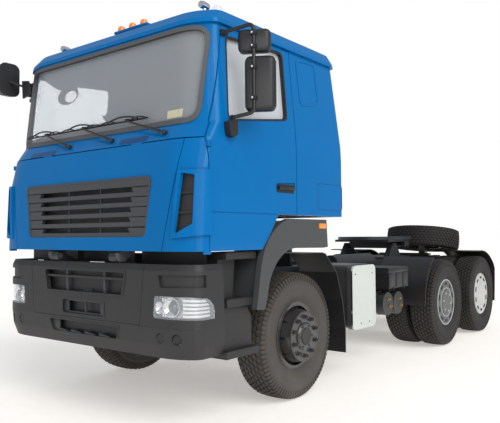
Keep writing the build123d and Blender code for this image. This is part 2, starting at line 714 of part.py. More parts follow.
vent_outline = [(1092, 1866), (1188, 1850), (1182, 1505), (1045, 1424)]
with BuildPart() as cab_corners:
    for way in (1, -1):
        low, high = sorted((way * 850, way * wide))
        with BuildPart(mode=Mode.PRIVATE) as corner:
            add(cab_shell)
            add(block((low, high), (-1700, door_front_y - seam_gap), (cab_bottom, belt_z - 4)),
                mode=Mode.INTERSECT)
            add(face_prism(lid_outline, (-1700, -1100), grow=seam_gap), mode=Mode.SUBTRACT)
        with BuildPart(mode=Mode.PRIVATE) as bulge:
            add(walls(cab_sections, -26))
            add(walls(cab_sections, 30), mode=Mode.SUBTRACT)
            add(face_prism([(way * 1070, 1884), (way * wide, 1884), (way * wide, 1440),
                            (way * 1008, 1400)], (2 - front_overhang, door_front_y - seam_gap)),
                mode=Mode.INTERSECT)
        add(corner.part)
        add(bulge.part)
        with BuildPart(mode=Mode.PRIVATE) as vent:
            add(walls(cab_sections, -60))
            add(walls(cab_sections, 22), mode=Mode.SUBTRACT)
            add(face_prism([(way * x, z) for x, z in vent_outline], (-1700, -1290), 14),
                mode=Mode.INTERSECT)
        add(vent.part, mode=Mode.SUBTRACT)
        low, high = sorted((way * 1040, way * 1200))
        add(common(walls(cab_sections, 40), block((low, high), (wall_front_y - 12, wall_front_y),
                                                  (1400, 2080))))
        with BuildPart(mode=Mode.PRIVATE) as hinges:
            for low_z, high_z in (lower_lug, upper_lug):
                with BuildSketch(level(low_z)):
                    with Locations((hinge_x, hinge_y)):
                        Circle(lug_radius)
                    with Locations((hinge_x, hinge_y - 14)):
                        Rectangle(2 * lug_radius, 28)
                extrude(amount=high_z - low_z)
            add(block((hinge_x - lug_radius, hinge_x + lug_radius), (-1330, hinge_y - 20),
                      (lower_lug[0], cab_bottom)))
            add(bar((hinge_x, hinge_y, lower_lug[0]), (hinge_x, hinge_y, cab_bottom + 60), hinge_pin))
            add(bar((hinge_x, hinge_y, upper_lug[0] - 38), (hinge_x, hinge_y, upper_lug[1]), hinge_pin))
        add(hinges.part if way > 0 else flipped(hinges.part))
finished += [(front_panel, "front_panel"), (front_grille, "front_grille"),
             (cab_corners, "cab_corners")]

# ---------------------------------------------------------------- cab floor and inside
floor_z = 1600
inner_half = cab_half_width - cab_wall - 6
arm_x = (bracket_x[1] + 6, bracket_x[1] + 46)    # cab arms beside the frame's brackets
with BuildPart(mode=Mode.PRIVATE) as floor_pan:
    add(block((-inner_half, inner_half), (wall_front_y, cab_rear_y - cab_wall),
              (floor_z, floor_z + 40)))
    add(block((-cab_half_width, cab_half_width), (-160, cab_rear_y - 120), (floor_z, floor_z + 40)))
    add(block((-1070, 1070), (wall_front_y, wall_front_y + 24), (1330, belt_z + 4)))
    add(block((-1000, 1000), (wall_front_y - 26, wall_front_y + 24), (2096, belt_z + 4)))
with BuildPart() as cab_floor:
    add(common(walls(cab_sections, cab_wall + touch_gap), floor_pan.part))
    for way in (1, -1):
        low, high = sorted((way * arm_x[0], way * arm_x[1]))
        add(block((low, high), (wall_front_y, cab_rear_y - 100), (1500, floor_z)))
        add(side_prism([(cab_pivot[0] - 34, cab_pivot[1] - 8), (cab_pivot[0] - 8, cab_pivot[1] - 34),
                        (cab_pivot[0] + 34, cab_pivot[1] - 34),
                        (wall_front_y + 60, 1330), (wall_front_y + 60, 1520), (wall_front_y, 1520),
                        (wall_front_y, 1345), (cab_pivot[0] - 34, cab_pivot[1] + 30)], (low, high)))
        add(bar((way * (bracket_x[0] - 6), *cab_pivot), (way * arm_x[0], *cab_pivot), tilt_pin))

wheel_seat = Plane(origin=(620, axle_y - 745, 2154), x_dir=(1, 0, 0), z_dir=(0, 208, 110))
with BuildPart(mode=Mode.PRIVATE) as steering_wheel:
    with BuildSketch(Plane(origin=wheel_seat.origin, x_dir=(1, 0, 0),
                           z_dir=wheel_seat.x_dir.cross(wheel_seat.z_dir))):
        with Locations((225, 0)):
            Circle(15)
    revolve(axis=Axis(wheel_seat.origin, wheel_seat.z_dir))
    with BuildSketch(wheel_seat.offset(-8)):
        Circle(70)
        Rectangle(430, 34)
        with Locations((0, -105)):
            Rectangle(34, 205)
    extrude(amount=16)
with BuildPart() as dashboard:
    add(side_prism([(-1218, 1880), (-1218, 2150), (-1180, 2205), (-960, 2185), (-890, 2080),
                    (-930, 1880)], (-1056, 1056), 18))
    add(block((-1000, 1000), (wall_front_y + 24, -1180), (1900, 2060)))
    add(bar((620, -960, 2040), (620, -752, 2150), 32))
    add(steering_wheel.part)

with BuildPart() as seats:
    for x in (620, -620):
        add(block((x - 240, x + 240), (-560, -80), (1880, 2010)))
        add(side_prism([(-150, 2010), (-40, 2010), (0, 2700), (-70, 2720), (-110, 2640)],
                       (x - 230, x + 230), 20))
        add(block((x - 150, x + 150), (-480, -150), (floor_z + 40, 1880)))
    add(block((-1090, 1090), (30, 540), (1980, 2110)))
    add(block((-1090, 1090), (60, 540), (floor_z + 40, 1980)))
finished += [(cab_floor, "cab_floor"), (dashboard, "dashboard"),
             (seats, "seats")]

# ---------------------------------------------------------------- roof lamps, wipers, mirrors
roof_crown = gutter_z + 190
lamp_row_y, lamp_base_top = -900, roof_crown + 73
horn_x, horn_y, horn_z = 905, -950, roof_crown + 42
outside = walls(cab_sections, -touch_gap)
with BuildPart() as roof_lamps:
    add(block((-215, 215), (lamp_row_y - 36, lamp_row_y + 36), (lamp_base_top - 24, lamp_base_top)))
    for x in (-170, 170):
        add(block((x - 34, x + 34), (lamp_row_y - 26, lamp_row_y + 26),
                  (roof_crown - 60, lamp_base_top - 14)))
    for x in (-148, 0, 148):
        with BuildSketch(level(lamp_base_top)):
            with Locations((x, lamp_row_y)):
                Ellipse(36, 30)
        extrude(amount=48, taper=16)
    for x in (-horn_x, horn_x):
        add(bar((x, horn_y, roof_crown - 40), (x, horn_y, horn_z), 16))
        add(bar((x, horn_y - 50, horn_z), (x, horn_y + 50, horn_z), 30))
    add(bar((1010, -920, roof_crown - 60), (1010, -920, roof_crown + 26), 44))
    add(walls(roof_sections, -touch_gap), mode=Mode.SUBTRACT)

wiper_pivots = [             # x of the pivot, x of the blade's ends
    (-294, -1010, -480),
    (261, -480, 60),
    (859, 60, 620),
]
with BuildPart() as wipers:
    for pivot_x, first_x, last_x in wiper_pivots:
        middle = (first_x + last_x) / 2 + 60
        add(bar((pivot_x, -1316, 2176), (pivot_x, -1352, 2186), 17))
        add(bar((pivot_x, -1346, 2184), (middle, -1318, 2330), 9))
        add(block((first_x, last_x), (-1326, -1306), (2318, 2340)))
    add(outside, mode=Mode.SUBTRACT)

tube_x, tube_y = 1420, -990
mirror_turn = radians(30)    # both heads look back and inwards
mirror_heads = [             # middle x, station, height, width, height
    (1404, -962, 2846, 240, 172),
    (1440, -940, 2530, 228, 405),
]
tube_radius = 14
with BuildPart() as mirrors_left:
    add(bent_tube([(1184, -1048, 2932), (tube_x, tube_y, 2968), (tube_x, tube_y, 2312),
                   (1268, -1048, 2286)], tube_radius, 40))
    add(side_prism([(-1115, 2250), (-1015, 2262), (-1020, 2160), (-1060, 2135), (-1105, 2150)],
                   (cab_half_width - 20, cab_half_width + 52), 12))
    add(block((1256, 1282), (-1066, -1038), (2240, 2300)))
    add(side_prism([(-1085, 2905), (-1010, 2915), (-1010, 2955), (-1085, 2950)],
                   (1168, 1196), 10))
    with BuildPart(mode=Mode.PRIVATE) as heads:
        for x, y, z, head_width, head_height in mirror_heads:
            back = Plane(origin=(x, axle_y + y, z),
                         x_dir=(cos(mirror_turn), sin(mirror_turn), 0),
                         z_dir=(sin(mirror_turn), -cos(mirror_turn), 0))
            for depth, taper in ((28, 40), (-40, 0)):
                with BuildSketch(back):
                    RectangleRounded(head_width, head_height, 46)
                extrude(amount=depth, taper=taper)
    add(heads.part)
    add(outside, mode=Mode.SUBTRACT)
kerb_foot = (2950, 2982)     # heights of the kerb mirror's foot on the door frame
low, high = cab_sections[-2:]
kerb_foot_x = -touch_gap - low[1] - (high[1] - low[1]) * (kerb_foot[0] - low[0]) / (high[0] - low[0])
with BuildPart() as mirrors_right:
    add(flipped(mirrors_left.part))
    add(block((kerb_foot_x - 22, kerb_foot_x), (-585, -545), kerb_foot))
    add(bar((kerb_foot_x - 12, -565, 2966), (-1340, -610, 2890), 10))
    with BuildSketch(level(2830)):
        with Locations((-1360, -620)):
            RectangleRounded(190, 150, 40)
    extrude(amount=80, taper=8)

with BuildPart() as front_mirror:
    add(face_prism([(-1165, 2905), (-1060, 2890), (-1035, 2760), (-1150, 2735)], (-1262, -1246)))
    add(block((-1158, -1124), (-1250, -1112), (2760, 2890)))
    add(bar((-1150, -1250, 2850), (-1262, -1330, 2900), 11))
    with BuildSketch(side(-1330)):
        with Locations((-1330, 2920)):
            RectangleRounded(190, 300, 55)
    extrude(amount=70, taper=-6)
    add(outside, mode=Mode.SUBTRACT)
finished += [(roof_lamps, "roof_lamps"), (wipers, "wipers"), (mirrors_left, "mirrors_left"),
             (mirrors_right, "mirrors_right"), (front_mirror, "front_mirror")]

# ---------------------------------------------------------------- bumper
# columns as the cab sections
bumper_sections = [
    (bumper_bottom, bumper_half_width - 40, -1390, 0, 420, 100, 60),
    (640, bumper_half_width - 8, -1414, 0, 430, 100, 60),
    (765, bumper_half_width, -bumper_front, 0, 430, 100, 60),
    (1170, bumper_half_width, -bumper_front, 0, 430, 100, 60),
    (bumper_top, bumper_half_width - 16, -1404, 0, 420, 90, 60),
]
bumper_end = [(-1700, bumper_bottom), (-1052, bumper_bottom), (-1086, bumper_top),
              (-1700, bumper_top)]
low_intake = [(-447, 735), (447, 735), (405, 640), (-405, 640)]
bumper_seam = [(722, bumper_top), (676, 768), (-676, 768), (-722, bumper_top)]
with BuildPart() as bumper_shell:
    add(walls(bumper_sections))
    add(walls(bumper_sections, bumper_wall), mode=Mode.SUBTRACT)
    add(side_prism(bumper_end, (-wide, wide)), mode=Mode.INTERSECT)
    add(face_prism([(-511, 1146), (511, 1146), (477, 978), (-477, 978)], (-1500, -1300), 12),
        mode=Mode.SUBTRACT)
    add(face_prism([(-261, 908), (261, 908), (261, 798), (-261, 798)], (-1500, -1300), 12),
        mode=Mode.SUBTRACT)
    for x in (884, 1033):
        for way in (1, -1):
            with BuildSketch(face(-1300)):
                with Locations((way * x, 690)):
                    Circle(38)
            extrude(amount=200, mode=Mode.SUBTRACT)
lamp_rear_y = -1168
lamp_outline = [(832, 992), (1120, 992), (1250, 976), (1250, 828), (818, 830)]
# the lamp's rounded rear end on the bumper's side, as (station, height)
lamp_end = [(-1700, 800), (lamp_rear_y, 800), (lamp_rear_y, 884), (-1184, 928), (-1218, 962),
            (-1266, 984), (-1330, 1000), (-1700, 1000)]
slot_outline = [(872, 1140), (1300, 1142), (1300, 1056), (890, 1052)]
slot_layer = walls(bumper_sections, -5) - walls(bumper_sections, 18)
with BuildPart() as bumper_centre:
    add(common(bumper_shell.part, face_prism(bumper_seam, (-1700, -1000))))
    add(block((-505, 505), (-1414, -1392), (1086, 1104)))
    for way in (1, -1):
        low, high = sorted((way * 350, way * rail_outer_x))
        add(block((low, high), (bumper_wall - bumper_front, rail_front_y), (912, 974)))
with BuildPart() as corner_left:
    add(bumper_shell.part)
    add(face_prism(bumper_seam, (-1700, -1000), grow=3), mode=Mode.SUBTRACT)
    add(block((0.5, wide), (-1700, -900), (500, 1300)), mode=Mode.INTERSECT)
    add(common(side_prism(lamp_end, (0.5, wide)),
               face_prism(lamp_outline, (-1700, lamp_rear_y), 24)), mode=Mode.SUBTRACT)
    add(common(slot_layer, face_prism(slot_outline, (-1700, -1262), 12)), mode=Mode.SUBTRACT)
    add(face_prism(low_intake, (-1600, -1250), 12), mode=Mode.SUBTRACT)
with BuildPart() as bumper_corners:
    add(corner_left.part)
    add(flipped(corner_left.part))
lamp_layer = walls(bumper_sections, 4) - walls(bumper_sections, 70)
with BuildPart() as headlamps:
    for way in (1, -1):
        low, high = sorted((way * 0.5, way * wide))
        add(common(common(lamp_layer, side_prism(lamp_end, (low, high), grow=-touch_gap)),
                   face_prism([(way * x, z) for x, z in lamp_outline],
                              (-1700, lamp_rear_y), 24, grow=-touch_gap)))
finished += [(bumper_centre, "bumper_centre"), (bumper_corners, "bumper_corners"),
             (headlamps, "headlamps")]

# ---------------------------------------------------------------- steps and arch flares
treads = [                   # first station, last station, bottom, top
    (-1050, -690, 1243, 1292),
    (-1040, -708, 890, 946),
    (-1046, -655, 512, 566),
]
with BuildPart() as cab_steps:
    for way in (1, -1):
        for y_first, y_last, low_z, high_z in treads:
            low, high = sorted((way * 900, way * 1196))
            add(block((low, high), (y_first, y_last), (low_z, high_z)))
        low, high = sorted((way * 900, way * 930))
        add(block((low, high), (-1050, -690), (512, 1292)))
        low, high = sorted((way * 1130, way * 1146))
        add(side_prism([(-1046, 540), (-690, 540), (-690, 800), (-730, 850), (-730, 900),
                        (-1040, 900)], (low, high)))
        low, high = sorted((way * 1096, way * 1112))
        add(side_prism([(-1040, 930), (-880, 930), (-850, 1260), (-1050, 1260)], (low, high)))
        low, high = sorted((way * (rail_outer_x), way * 930))
        add(block((low, high), (-1050, -990), (880, 960)))
        low, high = sorted((way * 900, way * (bumper_half_width - bumper_wall)))
        add(block((low, high), (-1120, -1040), (1010, 1050)))
# arch outline as (station, height): foot, arc round the wheel, then the straight rear end
flare_outer = [(-756, 852), (-706, 1120), (-590, 1390), (-300, 1556), (280, 1556), (300, 1312)]
flare_inner = [(222, 1306), (-180, 1312), (-480, 1208), (-612, 960), (-653, 842)]


def arch(x_range, outer, inner):
    """Arch with a curved outer and a curved inner edge, between two X."""
    with BuildPart(mode=Mode.PRIVATE) as piece:
        with BuildSketch(side(x_range[0])):
            with BuildLine():
                Line(outer[0], outer[1])
                ThreePointArc(*outer[1:4])
                Polyline(*outer[3:], inner[0], inner[1])
                ThreePointArc(*inner[1:4])
                Polyline(*inner[3:], outer[0])
            make_face()
        extrude(amount=x_range[1] - x_range[0])
    return piece.part


with BuildPart() as arch_flares:
    for way in (1, -1):
        low, high = sorted((way * 1202, way * (cab_half_width + 12)))
        add(arch((low, high), flare_outer, flare_inner))
        low, high = sorted((way * 936, way * 1202))
        add(arch((low, high), [(-712, 860), (-672, 1110), (-556, 1350), (-300, 1500), (280, 1500),
                               (280, 1482)], [(270, 1482), (-296, 1482), (-542, 1338), (-655, 1106),
                                              (-694, 860)]))
        low, high = sorted((way * rail_outer_x, way * 1160))
        add(block((low, high), (-30, 30), (1440, 1480)))
        low, high = sorted((way * rail_outer_x, way * (rail_outer_x + 40)))
        add(block((low, high), (-30, 30), (1000, 1480)))
        low, high = sorted((way * 900, way * 936))
        add(block((low, high), (-690, -610), (1120, 1160)))
finished += [(cab_steps, "cab_steps"), (arch_flares, "arch_flares")]

# ---------------------------------------------------------------- side equipment
with BuildPart() as silencer:
    add(side_prism([(870, 500), (1320, 500), (1320, 1120), (870, 1120)], (560, 1130), 40))
    add(side_prism([(853, 486), (1340, 486), (1340, 1114), (853, 1114)], (1130, 1192), 62))
    add(block((rail_outer_x, 560), (950, 1240), (850, 1000)))
with BuildPart() as fuel_tank:
    add(side_prism([(860, 480), (2260, 480), (2260, 1080), (860, 1080)], (-1150, -560), 80))
    for y in (1050, 2000):
        add(block((-560, -rail_outer_x), (y, y + 60), (830, 1000)))
with BuildPart() as battery_box:
    add(block((680, 1145), (1758, 2270), (823, 1050)))
    add(block((rail_outer_x, 680), (1800, 1880), (850, 950)))
    add(block((rail_outer_x, 680), (2150, 2230), (850, 950)))
with BuildPart() as air_tanks:
    # columns: station, height, radius
    for y, z, radius in ((1850, 650, 128), (2120, 640, 128)):
        add(bar((470, y, z), (1090, y, z), radius))
        add(block((760, 800), (y - 20, y + 20), (z + radius - 20, 823)))
    add(bar((560, 1500, 1090), (560, 2420, 1090), 100))
    add(block((rail_outer_x, 540), (1600, 1640), (1020, 1060)))
    add(block((rail_outer_x, 540), (2300, 2340), (1020, 1060)))

guard_radius = 640
guard_wall = 6
guard_x = (930, 1205)
front_guard = [(-60, 1262), (300, 1262), (356, 1250), (551, 1072), (657, 802), (707, 532)]
with BuildPart() as mudguards:
    for way in (1, -1):
        low, high = sorted((way * 800, way * 1196))
        add(side_prism(front_guard + [(y - 9, z - 4) for y, z in reversed(front_guard)],
                       (low, high)))
        add(block((low, high), (699, 707), (300, 560)))
        low, high = sorted((way * rail_outer_x, way * 800))
        add(block((low, high), (590, 630), (980, 1020)))
        low, high = sorted((way * 780, way * 820))
        add(side_prism([(581, 980), (630, 980), (630, 1020), (566, 1020)],
                       (low, high)))
        for station, first, middle, last in (
                (wheelbase, (-740, 20), (-655, 360), (-440, 580)),
                (wheelbase + bogie_spacing, (-142, 612), (230, 585), (570, 385))):
            low, high = sorted((way * 580, way * 1236))
            with BuildSketch(side(low)):
                with BuildLine():
                    inner_points = [(station + y, axle_z + z) for y, z in (first, middle, last)]
                    outer_points = [(station + y * 1.012, axle_z + z * 1.012)
                                    for y, z in (first, middle, last)]
                    ThreePointArc(*inner_points)
                    Line(inner_points[2], outer_points[2])
                    ThreePointArc(*reversed(outer_points))
                    Line(outer_points[0], inner_points[0])
                make_face()
            extrude(amount=high - low)
        last_axle = wheelbase + bogie_spacing
        low, high = sorted((way * 580, way * 1236))
        flap = [(570, 388), (rear_overhang, 340), (588, 84), (562, -150), (554, -150), (580, 84),
                (rear_overhang - 9, 336), (562, 378)]
        add(side_prism([(last_axle + y, axle_z + z) for y, z in flap], (low, high)))
        low, high = sorted((way * rail_outer_x, way * 600))
        add(block((low, high), (wheelbase - 720, wheelbase - 690), (700, 1000)))
        add(block((low, high), (last_axle + 398, last_axle + 438), (980, 1062)))
finished += [(silencer, "silencer"), (fuel_tank, "fuel_tank"), (battery_box, "battery_box"),
             (air_tanks, "air_tanks"), (mudguards, "mudguards")]

# ---------------------------------------------------------------- spare wheel and tail lamps
spare_x, spare_y, spare_z = 310, 4750, 1342
spare_tilt = 8               # degrees, front edge up


def as_spare(wheel):
    """Lay a wheel made at the front axle line flat, with its front edge raised."""
    centred = wheel.moved(Location((0, -axle_y, 0))).rotate(Axis.Y, 90).rotate(Axis.X, -spare_tilt)
    return centred.moved(Location((spare_x, axle_y + spare_y, spare_z)))


with BuildPart() as spare_tyre:
    add(as_spare(tyre(0, 0, 0)))
with BuildPart() as spare_rim:
    add(as_spare(rim_barrel(0, 0, 0)))
    add(as_spare(turned([(-6, 0), (6, 0), (6, 262), (-6, 262)], 0, 0, 0)))
    add(block((-420, 420), (spare_y - 40, spare_y + 40), (rail_top, rail_top + 40)))
    add(block((spare_x - 50, spare_x + 50), (spare_y - 50, spare_y + 50), (rail_top, spare_z)))
with BuildPart() as tail_lamps:
    for way in (1, -1):
        low, high = sorted((way * 445, way * 565))
        add(block((low, high), (rail_rear_y, rail_rear_y + 66), (760, 1000)))
        low, high = sorted((way * 350, way * 565))
        add(block((low, high), (rail_rear_y, rail_rear_y + 10), (830, 900)))
finished += [(spare_tyre, "spare_tyre"), (spare_rim, "spare_rim"), (tail_lamps, "tail_lamps")]

for piece, label in finished:
    piece.part.label = label
    export_step(piece.part, f"parts/{label}.step")
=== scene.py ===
# %% [markdown]
# # A cab-over tractor unit, dressed for its portrait
# The shapes come from the built model. This script adds paint, rubber, glass and the small
# fittings, then lights it softly on a pale floor. Lengths are metres: +X is the vehicle's left and
# -Y is forward. A station is a distance behind the front axle.

import math

import bmesh
import bpy
from mathutils import Matrix, Vector
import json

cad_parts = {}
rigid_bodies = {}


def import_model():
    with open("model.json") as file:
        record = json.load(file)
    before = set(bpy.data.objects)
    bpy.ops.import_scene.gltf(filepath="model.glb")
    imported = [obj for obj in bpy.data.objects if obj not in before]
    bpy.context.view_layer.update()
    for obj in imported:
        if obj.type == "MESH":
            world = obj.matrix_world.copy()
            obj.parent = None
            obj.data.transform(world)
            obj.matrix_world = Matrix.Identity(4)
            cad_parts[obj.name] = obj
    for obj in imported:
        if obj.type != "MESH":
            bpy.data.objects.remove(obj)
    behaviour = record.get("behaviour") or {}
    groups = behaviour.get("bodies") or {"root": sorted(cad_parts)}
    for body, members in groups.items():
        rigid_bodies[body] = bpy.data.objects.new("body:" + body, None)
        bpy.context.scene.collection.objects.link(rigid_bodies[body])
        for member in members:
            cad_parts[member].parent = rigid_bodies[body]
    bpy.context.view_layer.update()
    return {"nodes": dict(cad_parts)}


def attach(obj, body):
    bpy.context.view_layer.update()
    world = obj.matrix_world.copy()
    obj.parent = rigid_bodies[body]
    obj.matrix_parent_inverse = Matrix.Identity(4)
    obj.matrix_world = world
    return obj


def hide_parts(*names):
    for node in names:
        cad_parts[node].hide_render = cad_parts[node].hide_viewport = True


for old in list(bpy.data.objects):
    bpy.data.objects.remove(old)
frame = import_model()
nodes = frame["nodes"]
print("nodes loaded:", len(nodes))

AXLE = -1.924                # the front axle's place along Y
WHEEL_Z = 0.548              # height of every axle
FIRST_DRIVE, SECOND_DRIVE = 3.292, 4.682    # stations of the drive axles behind the front axle
FRONT_TYRE_X = 0.988         # middle of each front tyre
TWIN_X = (1.085, 0.740)      # middles of the outer and inner twin tyres


# %% [markdown]
# ## Materials
# `Value` wraps a node socket so that shader maths reads like ordinary arithmetic.

# %%
class Value:
    """A shader socket that can be added, subtracted and multiplied."""

    def __init__(self, shader, socket):
        self.shader = shader
        self.socket = socket

    def _with(self, operation, other, swap=False):
        first, second = (other, self) if swap else (self, other)
        return self.shader.node("ShaderNodeMath", {0: first, 1: second}, operation=operation)

    def __add__(self, other):
        return self._with("ADD", other)

    def __sub__(self, other):
        return self._with("SUBTRACT", other)

    def __rsub__(self, other):
        return self._with("SUBTRACT", other, True)

    def __mul__(self, other):
        return self._with("MULTIPLY", other)

    __radd__, __rmul__ = __add__, __mul__


class Shader:
    """A node tree built node by node, in a new material unless another owner is given."""

    def __init__(self, name, owner=None):
        self.material = owner or bpy.data.materials.new(name)
        self.material.use_nodes = True
        self.tree = self.material.node_tree
        self.tree.nodes.clear()

    def node(self, kind, inputs=None, output=0, **settings):
        """Add a node, set its properties, feed its inputs and return one output."""
        made = self.tree.nodes.new(kind)
        for key, setting in settings.items():
            setattr(made, key, setting)
        for key, given in (inputs or {}).items():
            if isinstance(given, Value):
                self.tree.links.new(given.socket, made.inputs[key])
            else:
                made.inputs[key].default_value = given
        return Value(self, made.outputs[output]) if len(made.outputs) else None

    def noise(self, scale, detail=4.0):
        """Cloudy noise from 0 to 1 in object space."""
        place = self.node("ShaderNodeTexCoord", output="Object")
        return self.node("ShaderNodeTexNoise", {"Vector": place, "Scale": scale, "Detail": detail,
                                                "Roughness": 0.55})

    def height(self):
        """Height above the ground."""
        place = self.node("ShaderNodeTexCoord", output="Object")
        return self.node("ShaderNodeSeparateXYZ", {0: place}, output=2)

    def ramp(self, factor, low, high):
        """Clamp and stretch a value so low becomes 0 and high becomes 1."""
        return self.node("ShaderNodeMapRange", {0: factor, 1: low, 2: high, 3: 0.0, 4: 1.0},
                         clamp=True)

    def mix(self, factor, first, second):
        """Blend two colours."""
        return self.node("ShaderNodeMix", {0: factor, 6: first, 7: second}, output=2,
                         data_type="RGBA")

    def bump(self, height, strength):
        return self.node("ShaderNodeBump", {"Height": height, "Strength": strength,
                                            "Distance": 0.002})

    def finish(self, **inputs):
        """Join everything to one Principled surface and return the material."""
        surface = self.node("ShaderNodeBsdfPrincipled",
                            {key.replace("_", " "): given for key, given in inputs.items()})
        self.node("ShaderNodeOutputMaterial", {"Surface": surface})
        return self.material


def colour(r, g, b):
    return (r, g, b, 1.0)


DUST = colour(0.20, 0.175, 0.145)


def plain(name, base, rough=0.5, metal=0.0, coat=0.0, wear=0.12, scale=9.0, bumps=0.0,
          dust=None, shine=0.5):
    """A painted, plastic, rubber or metal surface with slight variation.

    dust gives the height where settled dust ends and the most of it that shows.
    """
    shader = Shader(name)
    cloud = shader.noise(scale)
    dark = colour(*[c * (1 - wear) for c in base])
    light = colour(*[min(1.0, c * (1 + wear)) for c in base])
    tint = shader.mix(cloud, dark, light)
    if dust:
        dust_top, dust_most = dust
        low = 1 - shader.ramp(shader.height(), 0.1, dust_top)
        patches = shader.ramp(shader.noise(3.1, 5.0), 0.35, 0.75)
        tint = shader.mix(low * patches * dust_most, tint, DUST)
    extra = {}
    if bumps:
        extra["Normal"] = shader.bump(shader.noise(scale * 12, 2.0), bumps)
    return shader.finish(Base_Color=tint, Roughness=rough + 0.12 * (cloud - 0.5), Metallic=metal,
                         Coat_Weight=coat, Coat_Roughness=0.06, Specular_IOR_Level=shine, **extra)


def glass(name, tint, alpha):
    """Clear or tinted glazing that still takes a crisp highlight."""
    shader = Shader(name)
    cloud = shader.noise(1.3, 2.0)
    return shader.finish(Base_Color=colour(*tint), Roughness=0.04 + 0.02 * cloud,
                         Alpha=alpha + 0.06 * cloud, Coat_Weight=1.0, Coat_Roughness=0.02)


def glowing(name, dark, light, scale, rough, strength):
    """A cloudy tint that also gives off some of its own light."""
    shader = Shader(name)
    tint = shader.mix(shader.noise(scale), colour(*dark), colour(*light))
    return shader.finish(Base_Color=tint, Roughness=rough, Emission_Color=tint,
                         Emission_Strength=strength)


# %% [markdown]
# ### Paints, plastics, rubbers and metals

# %%
blue = plain("cab_blue", (0.0, 0.128, 0.37), 0.30, coat=0.22, wear=0.05, scale=2.2, shine=0.06)
deep_blue = plain("deep_blue", (0.0, 0.045, 0.16), 0.4, coat=0.2, wear=0.05, shine=0.3)
grey_plastic = plain("grey_plastic", (0.019, 0.0185, 0.0195), 0.55, bumps=0.12, dust=(0.8, 0.12))
flare_grey = plain("flare_grey", (0.05, 0.052, 0.054), 0.55, wear=0.1, bumps=0.1)
grille_grey = plain("grille_grey", (0.042, 0.044, 0.05), 0.5, wear=0.08, bumps=0.1)
black_plastic = plain("black_plastic", (0.012, 0.012, 0.013), 0.42, wear=0.2, bumps=0.08)
rubber_grey = plain("rubber_grey", (0.075, 0.078, 0.084), 0.6, wear=0.1)
rubber_black = plain("rubber_black", (0.01, 0.01, 0.011), 0.5, wear=0.15)
tyre_rubber = plain("tyre_rubber", (0.052, 0.046, 0.043), 0.7, wear=0.2, bumps=0.2,
                    dust=(1.15, 0.2))
rear_rubber = plain("rear_rubber", (0.011, 0.0105, 0.0105), 0.75, wear=0.25, bumps=0.2,
                    dust=(1.15, 0.08))
tread_rubber = plain("tread_rubber", (0.036, 0.030, 0.025), 0.8, wear=0.3, bumps=0.25,
                     dust=(1.3, 0.3))
rear_tread = plain("rear_tread", (0.024, 0.021, 0.018), 0.8, wear=0.3, bumps=0.25, dust=(1.3, 0.15))
rim_black = plain("rim_black", (0.022, 0.021, 0.021), 0.28, coat=0.5, wear=0.2, dust=(1.2, 0.12))
silver = plain("silver", (0.105, 0.108, 0.112), 0.45, metal=0.3, wear=0.08, dust=(1.1, 0.1))
bright_silver = plain("bright_silver", (0.5, 0.5, 0.49), 0.4, metal=0.2, wear=0.06, dust=(1.1, 0.1))
silencer_steel = plain("silencer_steel", (0.1, 0.098, 0.1), 0.35, metal=0.5, wear=0.2,
                       dust=(0.8, 0.35))
chrome = plain("chrome", (0.72, 0.73, 0.75), 0.12, metal=1.0, wear=0.03)
steel_black = plain("steel_black", (0.02, 0.021, 0.024), 0.5, metal=0.1, wear=0.2, dust=(1.1, 0.3))
frame_paint = plain("frame_paint", (0.02, 0.022, 0.028), 0.5, wear=0.2, dust=(1.1, 0.3))
white_panel = plain("white_panel", (0.55, 0.585, 0.555), 0.45, wear=0.06, dust=(1.0, 0.2))
tank_metal = plain("tank_metal", (0.42, 0.43, 0.44), 0.35, metal=0.8, wear=0.1, dust=(1.2, 0.6))
coupling_steel = plain("coupling_steel", (0.035, 0.037, 0.042), 0.42, metal=0.4, wear=0.3, scale=5)
interior = plain("interior", (0.06, 0.06, 0.065), 0.75, wear=0.1)
seat_cloth = plain("seat_cloth", (0.035, 0.04, 0.055), 0.9, wear=0.15)
brass = plain("brass", (0.6, 0.4, 0.15), 0.3, metal=1.0, wear=0.1)
orange = plain("orange", (0.85, 0.25, 0.02), 0.3, coat=0.5, wear=0.06)
red = plain("red", (0.55, 0.03, 0.02), 0.3, coat=0.5, wear=0.06)
yellow = plain("yellow", (0.75, 0.5, 0.03), 0.4, wear=0.1)
white = plain("white", (0.85, 0.86, 0.86), 0.45, wear=0.03)
silvered = plain("mirror_glass", (0.55, 0.58, 0.6), 0.04, metal=1.0, wear=0.02)
sticker_cream = plain("sticker_cream", (0.55, 0.52, 0.36), 0.6, wear=0.15, scale=60)
lens_dark = plain("lens_dark", (0.05, 0.05, 0.055), 0.08, coat=1.0, wear=0.1)
lamp_silver = plain("lamp_silver", (0.5, 0.51, 0.53), 0.3, metal=0.7, wear=0.3, scale=40)
# White that glows: painted sunlight on the sheet behind the windscreen, and a painted reflection on
# the small mirror's face.
white_painted_glow = glowing("white_painted_glow", (0.86, 0.88, 0.89), (0.92, 0.94, 0.95), 6.0, 0.6, 3.0)
window = glass("window", (0.31, 0.33, 0.35), 0.62)
side_window = glass("side_window", (0.62, 0.645, 0.67), 0.74)
lens = glass("lens", (0.75, 0.8, 0.85), 0.2)


# %% [markdown]
# ## Small tools for adding pieces
# Every piece is a mesh at the origin whose vertices already sit in the vehicle's frame.

# %%
made_pieces = []


def added(name, data):
    """New object in the scene."""
    made = bpy.data.objects.new(name, data)
    bpy.context.scene.collection.objects.link(made)
    return made


